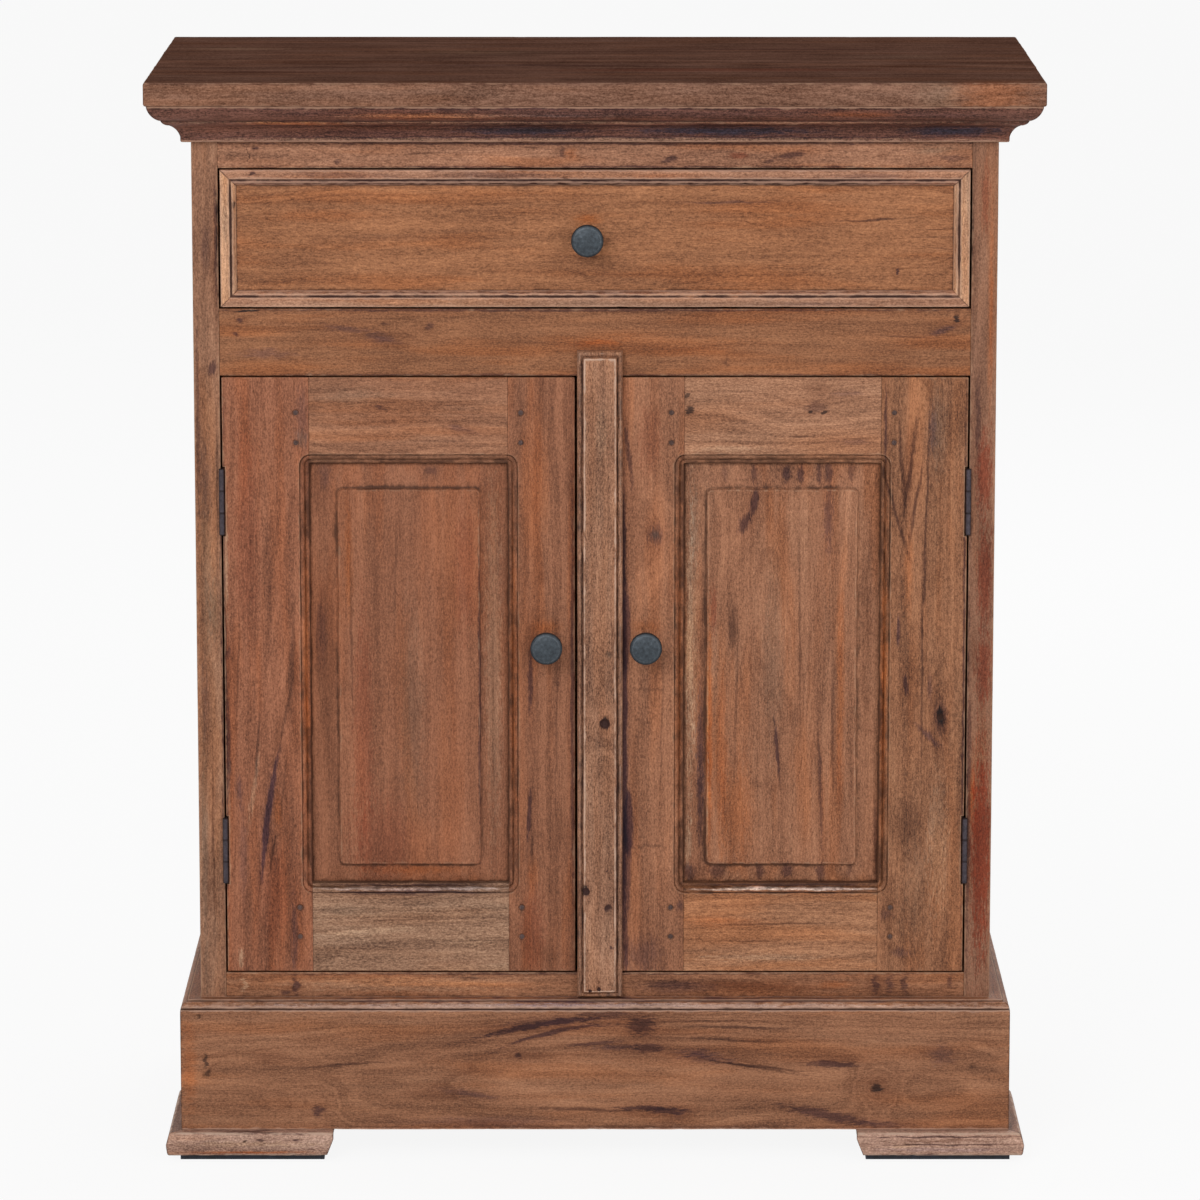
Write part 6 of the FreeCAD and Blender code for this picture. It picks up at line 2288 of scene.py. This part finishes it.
@dataclass
class Ironwork:
    """Hinges as they are, with slotted screws in their leaves."""

    axis_x: float = 344.7
    axis_y: float = -176.5
    radius: float = 2.9

    def screw(self, x: float, y: float, z: float, out: float, seed: int) -> Skin:
        """A flush slotted head: a turned disc, laid against the leaf, with a slot.

        The slot is pressed in by 0.5 mm where the distance across it is under 0.4 mm.

        Args:
            x: Place of the head along X.
            y: Its place along Y.
            z: Its height.
            out: Which way along X it looks, -1 or 1.
            seed: Turns the slot.

        Returns:
            The head's skin.
        """
        rows = [(0.0, -0.12)] + [(r, -0.12 + 0.1 * max(0.0, r - 2.4) / 0.5) for r in
                                 (0.25, 0.5, 0.9, 1.4, 1.9, 2.4, 2.7, self.radius)]
        head = turned(rows + [(self.radius, 0.6), (0.0, 0.6)], (0.0, 0.0), 28, 0)
        u, deep, v = head.points.T
        off = np.abs(u * math.sin(seed * 1.7) + v * math.cos(seed * 1.7))
        pressed = 0.5 * (1 - eased(off, 0.3, 0.5)) * (deep < 0.1)
        head.points = np.stack([x - out * (deep + pressed), y + u, z + v], -1)
        return head.outward()

    def screws(self, side: float, out: float, seed: int) -> Skin:
        """Three screws in each of two leaves on one side of a hinge line.

        Args:
            side: -1 for the left hinges and 1 for the right ones.
            out: Which way along X the leaf looks, -1 or 1.
            seed: Turns the slots.

        Returns:
            The six heads as one skin.
        """
        face = side * self.axis_x + out * -0.2
        return joined([self.screw(face, self.axis_y + dy, start + dz, out, seed + count)
                       for start in HINGE_Z
                       for count, (dy, dz) in enumerate(((12.0, 10.0), (9.5, 31.0),
                                                         (12.0, 52.0)))])

    def build(self) -> None:
        """Dresses the hinges and sets their screws."""
        # Heights of the painted shade between the knuckles.
        shaded_gap_heights = tuple(start + HINGE_LONG * part / 3 for start in HINGE_Z for part in range(4))
        steel = IronFinish("dulled hinge steel", (66, 58, 64), 4.0, (150, 146, 148),
                           shaded_gap_heights).make()
        dress_nodes(steel, "hinge_frame_leaves", "hinge_pins", "left_door_hinge_leaves",
                    "right_door_hinge_leaves", "shelf_pins")
        for name, body, side, out in (("left_frame_screws", "carcass", -1.0, 1.0),
                                      ("left_door_screws", "left_door", -1.0, -1.0),
                                      ("right_frame_screws", "carcass", 1.0, -1.0),
                                      ("right_door_screws", "right_door", 1.0, 1.0)):
            make_piece(name, self.screws(side, out, len(name)), steel, body, "hinge_steel",
                       crease=50.0)


@dataclass
class Inside:
    """The back and everything behind the doors, in plain dry wood."""

    board_count: int = 5
    gap: float = 0.4

    def build(self) -> None:
        """Makes the back boards and dresses the inner solids."""
        low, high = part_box("back_boards")
        x0, x1, z0, z1 = (1000 * v for v in (low.x, high.x, low.z, high.z))
        wide = (x1 - x0 + self.gap) / self.board_count
        skins = []
        for count in range(self.board_count):
            left = x0 + count * wide
            skins.append(Board((left, 200.5, z0), (left + wide - self.gap, REAR_Y, z1),
                               101 + count, (0.7, 0.7, 0.5, 0.5), Facing.BACK, 9.0,
                               sway=0.4).skin())
        back = WoodFinish("back board wood", Grain.UP_FRONT, (146, 108, 82), 16.1, 1.2,
                          ring=9.0, pith=(30.0, 290.0, 300.0), warm=0.3, grey=0.6, worn=0.4,
                          rough=0.66)
        make_piece("back_board_set", joined(skins), back.make(), "carcass", "inside_wood",
                   "back_boards")
        flat = WoodFinish("shelf and floor wood", Grain.ACROSS_FRONT, (164, 124, 94), 17.2,
                          pith=(60.0, -60.0, 300.0), warm=0.3, grey=0.3, rough=0.6)
        rough = WoodFinish("inner rail wood", Grain.ACROSS_FRONT, (150, 112, 84), 17.9,
                           ring=6.0, pith=(0.0, 60.0, 700.0), grey=0.4, rough=0.68)
        runner = WoodFinish("runner wood", Grain.ACROSS_SIDE, (158, 120, 92), 18.4, ring=6.0,
                            pith=(300.0, 0.0, 700.0), grey=0.3, rough=0.6)
        block = WoodFinish("glue block wood", Grain.UP_FRONT, (154, 116, 88), 18.9, ring=5.0,
                           grey=0.3, rough=0.68)
        dress_nodes(flat.make(), "shelf", "cupboard_floor")
        dress_nodes(rough.make(), "rear_rails", "door_stops")
        dress_nodes(runner.make(), "drawer_runners", "drawer_kickers", "drawer_stops",
                    "floor_battens")
        dress_nodes(block.make(), "corner_blocks")


def dress_nodes(finish: Material, *names: str) -> None:
    """Gives solids that are shown as they are their finish.

    Args:
        finish: The finish.
        names: The solids' nodes.
    """
    for name in names:
        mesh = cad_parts[name].data
        mesh.materials.clear()
        mesh.materials.append(finish)
    LOG.info("dressed %s", ", ".join(names))


def left_looks() -> DoorLooks:
    """Gives the finishes of the left door's boards.

    Returns:
        A finish for each board.
    """
    return DoorLooks(
        WoodFinish("left hinge stile wood", Grain.UP_FRONT, (147, 94, 69), 20.1, 0.95,
                   pith=(-272.0, -205.0, 250.0), grey=0.25,
                   marks=LEFT_HINGE_MARKS),
        WoodFinish("left lock stile wood", Grain.UP_FRONT, (143, 94, 69), 20.8, 0.95,
                   ring=6.0, pith=(-90.0, -120.0, 500.0), bends=0.04, warm=0.6, grey=0.2,
                   marks=LEFT_LOCK_MARKS),
        WoodFinish("left top rail wood", Grain.ACROSS_FRONT, (150, 103, 77), 21.3, 1.0,
                   ring=5.0, pith=(-260.0, -110.0, 640.0), bends=0.05, grey=0.5,
                   marks=LEFT_TOP_MARKS),
        WoodFinish("left bottom rail wood", Grain.ACROSS_FRONT, (152, 115, 91), 21.9, 1.1,
                   ring=5.5, pith=(-120.0, -120.0, 170.0), bends=0.08, warm=0.2, grey=0.8,
                   marks=LEFT_BOTTOM_MARKS),
        WoodFinish("left panel wood", Grain.UP_FRONT, (149, 97, 71), 22.4, 0.75, ring=11.0,
                   pith=(-150.0, -60.0, 200.0), bends=0.04, warm=0.4, grey=0.4, fleck=0.3,
                   worn=0.5, marks=LEFT_PANEL_MARKS))


def right_looks() -> DoorLooks:
    """Gives the finishes of the right door's boards.

    Returns:
        A finish for each board.
    """
    return DoorLooks(
        WoodFinish("right hinge stile wood", Grain.UP_FRONT, (146, 99, 71), 23.1, 1.15,
                   ring=6.0, pith=(290.0, -196.0, 600.0), bends=0.12, warm=0.35, grey=0.6,
                   marks=RIGHT_HINGE_MARKS),
        WoodFinish("right lock stile wood", Grain.UP_FRONT, (159, 108, 80), 23.8, 0.9,
                   ring=7.0, pith=(62.0, -110.0, 420.0), bends=0.05, warm=0.4, grey=0.35,
                   marks=RIGHT_LOCK_MARKS),
        WoodFinish("right top rail wood", Grain.ACROSS_FRONT, (163, 116, 88), 24.3, 1.0,
                   ring=5.0, pith=(200.0, -110.0, 640.0), bends=0.06, warm=0.3, grey=0.4,
                   marks=RIGHT_TOP_MARKS),
        WoodFinish("right bottom rail wood", Grain.ACROSS_FRONT, (159, 111, 81), 24.9, 1.1,
                   ring=5.0, pith=(190.0, -110.0, 150.0), bends=0.04, warm=0.5, grey=0.35,
                   marks=RIGHT_BOTTOM_MARKS),
        WoodFinish("right panel wood", Grain.UP_FRONT, (154, 105, 78), 25.4, ring=6.0,
                   pith=(170.0, -40.0, 420.0), bends=0.02, warm=0.5, grey=0.5, worn=0.85,
                   marks=RIGHT_PANEL_MARKS))


@dataclass
class Studio:
    """The pale floor, the soft lamps and the camera."""

    place: Triple = (0.0046, -5.9, 1.612)
    pitch: float = 10.5
    lens: float = 188.7
    shift: float = -0.018

    @staticmethod
    def finish(bench: Bench, share: float, plain: Node, bright: Node, end: str) -> None:
        """Mixes a plain shader with a bright one for what the camera and gloss see.

        The share of the bright one is share times the largest of the camera, glossy and
        transmission rays.

        Args:
            bench: Where the shaders are.
            share: Share of the bright one.
            plain: The shader that lights the room.
            bright: The shader that is seen.
            end: Type of the output node.
        """
        path = bench.node("ShaderNodeLightPath").outputs
        seen = path["Is Camera Ray"]
        for other in ("Is Glossy Ray", "Is Transmission Ray"):
            seen = bench.sum("MAXIMUM", seen, path[other])
        mixed = bench.node("ShaderNodeMixShader", {0: bench.sum("MULTIPLY", seen, share),
                                                   1: plain.outputs[0],
                                                   2: bright.outputs[0]})
        bench.node(end, {0: mixed.outputs[0]})

    def floor(self) -> None:
        """Makes a wide floor that looks white and keeps a soft shadow."""
        wide = 40.0
        mesh = bpy.data.meshes.new("studio_floor")
        mesh.from_pydata([(-wide, -wide, 0), (wide, -wide, 0), (wide, wide, 0),
                          (-wide, wide, 0)], [], [(0, 1, 2, 3)])
        floor = bpy.data.objects.new("studio_floor", mesh)
        bpy.context.scene.collection.objects.link(floor)
        bench = Bench(bpy.data.materials.new("studio floor"))
        self.finish(bench, 0.9, bench.node("ShaderNodeBsdfDiffuse", {0: (0.82,) * 3 + (1.0,)}),
                    bench.node("ShaderNodeEmission", {0: WHITE}), "ShaderNodeOutputMaterial")
        mesh.materials.append(bench.owner)

    def world(self) -> None:
        """Makes an even pale room."""
        bench = Bench(bpy.data.worlds.new("studio room"))
        plain, bright = (bench.node("ShaderNodeBackground", {0: WHITE, 1: power})
                         for power in (0.5, 1.0))
        self.finish(bench, 1.0, plain, bright, "ShaderNodeOutputWorld")
        bpy.context.scene.world = bench.owner

    def lamp(self, name: str, place: Triple, size: float, power: float) -> None:
        """Makes a large soft lamp that looks at the middle of the cupboard.

        Args:
            name: Its name.
            place: Its place in metres.
            size: Its width in metres.
            power: Its power in watts.
        """
        light = bpy.data.lights.new(name, "AREA")
        light.shape = "SQUARE"
        light.size = size
        light.energy = power
        lamp = bpy.data.objects.new(name, light)
        lamp.location = place
        aim = Vector((0.0, 0.0, 0.55)) - Vector(place)
        lamp.rotation_euler = aim.to_track_quat("-Z", "Y").to_euler()
        bpy.context.scene.collection.objects.link(lamp)

    def camera(self) -> None:
        """Sets the camera at the photograph's place."""
        data = bpy.data.cameras.new("camera")
        data.lens = self.lens
        data.sensor_width = 36.0
        data.shift_y = self.shift
        data.clip_end = 200.0
        camera = bpy.data.objects.new("camera", data)
        camera.location = self.place
        camera.rotation_euler = (math.radians(90.0 - self.pitch), 0.0, 0.0)
        bpy.context.scene.collection.objects.link(camera)
        bpy.context.scene.camera = camera

    def build(self) -> None:
        """Makes the whole studio."""
        self.floor()
        self.world()
        self.lamp("key lamp", (-1.3, -3.7, 2.5), 1.8, 66.0)
        self.lamp("fill lamp", (2.2, -3.2, 1.6), 2.0, 26.0)
        self.lamp("back lamp", (1.2, 3.2, 2.6), 1.8, 34.0)
        self.camera()
        bpy.context.scene.view_settings.view_transform = "Standard"


def main() -> None:
    """Builds every sub-assembly in order."""
    logging.basicConfig(level=logging.INFO, format="%(name)s: %(message)s")
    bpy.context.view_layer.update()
    Top().build()
    Cornice().build()
    SideFrames().build()
    FrontRails().build()
    Plinth().build()
    Feet().build()
    Inside().build()
    iron = IronFinish("blackened iron", (60, 67, 73), 1.0).make()
    peg_wood = WoodFinish("peg wood", Grain.UP_FRONT, (84, 66, 62), 26.0, worn=0.2,
                          grime=0.5).make()
    Drawer().build(iron)
    Door("left_door", edges=(-343.9, -18.5), sight_x=(-263.9, -80.5), hinge_on_left=True,
         bevels=(26.0, 26.0, 18.0, 24.0), ragged=0.6, knob_x=-45.0, seed=120,
         looks=left_looks(), line=(0.75, 0.5, 0.95, 0.95)).build(iron, peg_wood)
    Door("right_door", edges=(-16.5, 343.9), sight_x=(82.5, 263.9), hinge_on_left=False,
         bevels=(21.0, 21.0, 18.0, 24.0), ragged=1.1, knob_x=47.0, seed=160,
         looks=right_looks(), line=(0.95, 0.6, 0.95, 0.75),
         dents=(Dent(320.8, 420.0, 3.4, 1.4, 0.9),)).build(iron, peg_wood)
    CoverStrip().build()
    Ironwork().build()
    Studio().build()


if __name__ == "__main__":
    main()
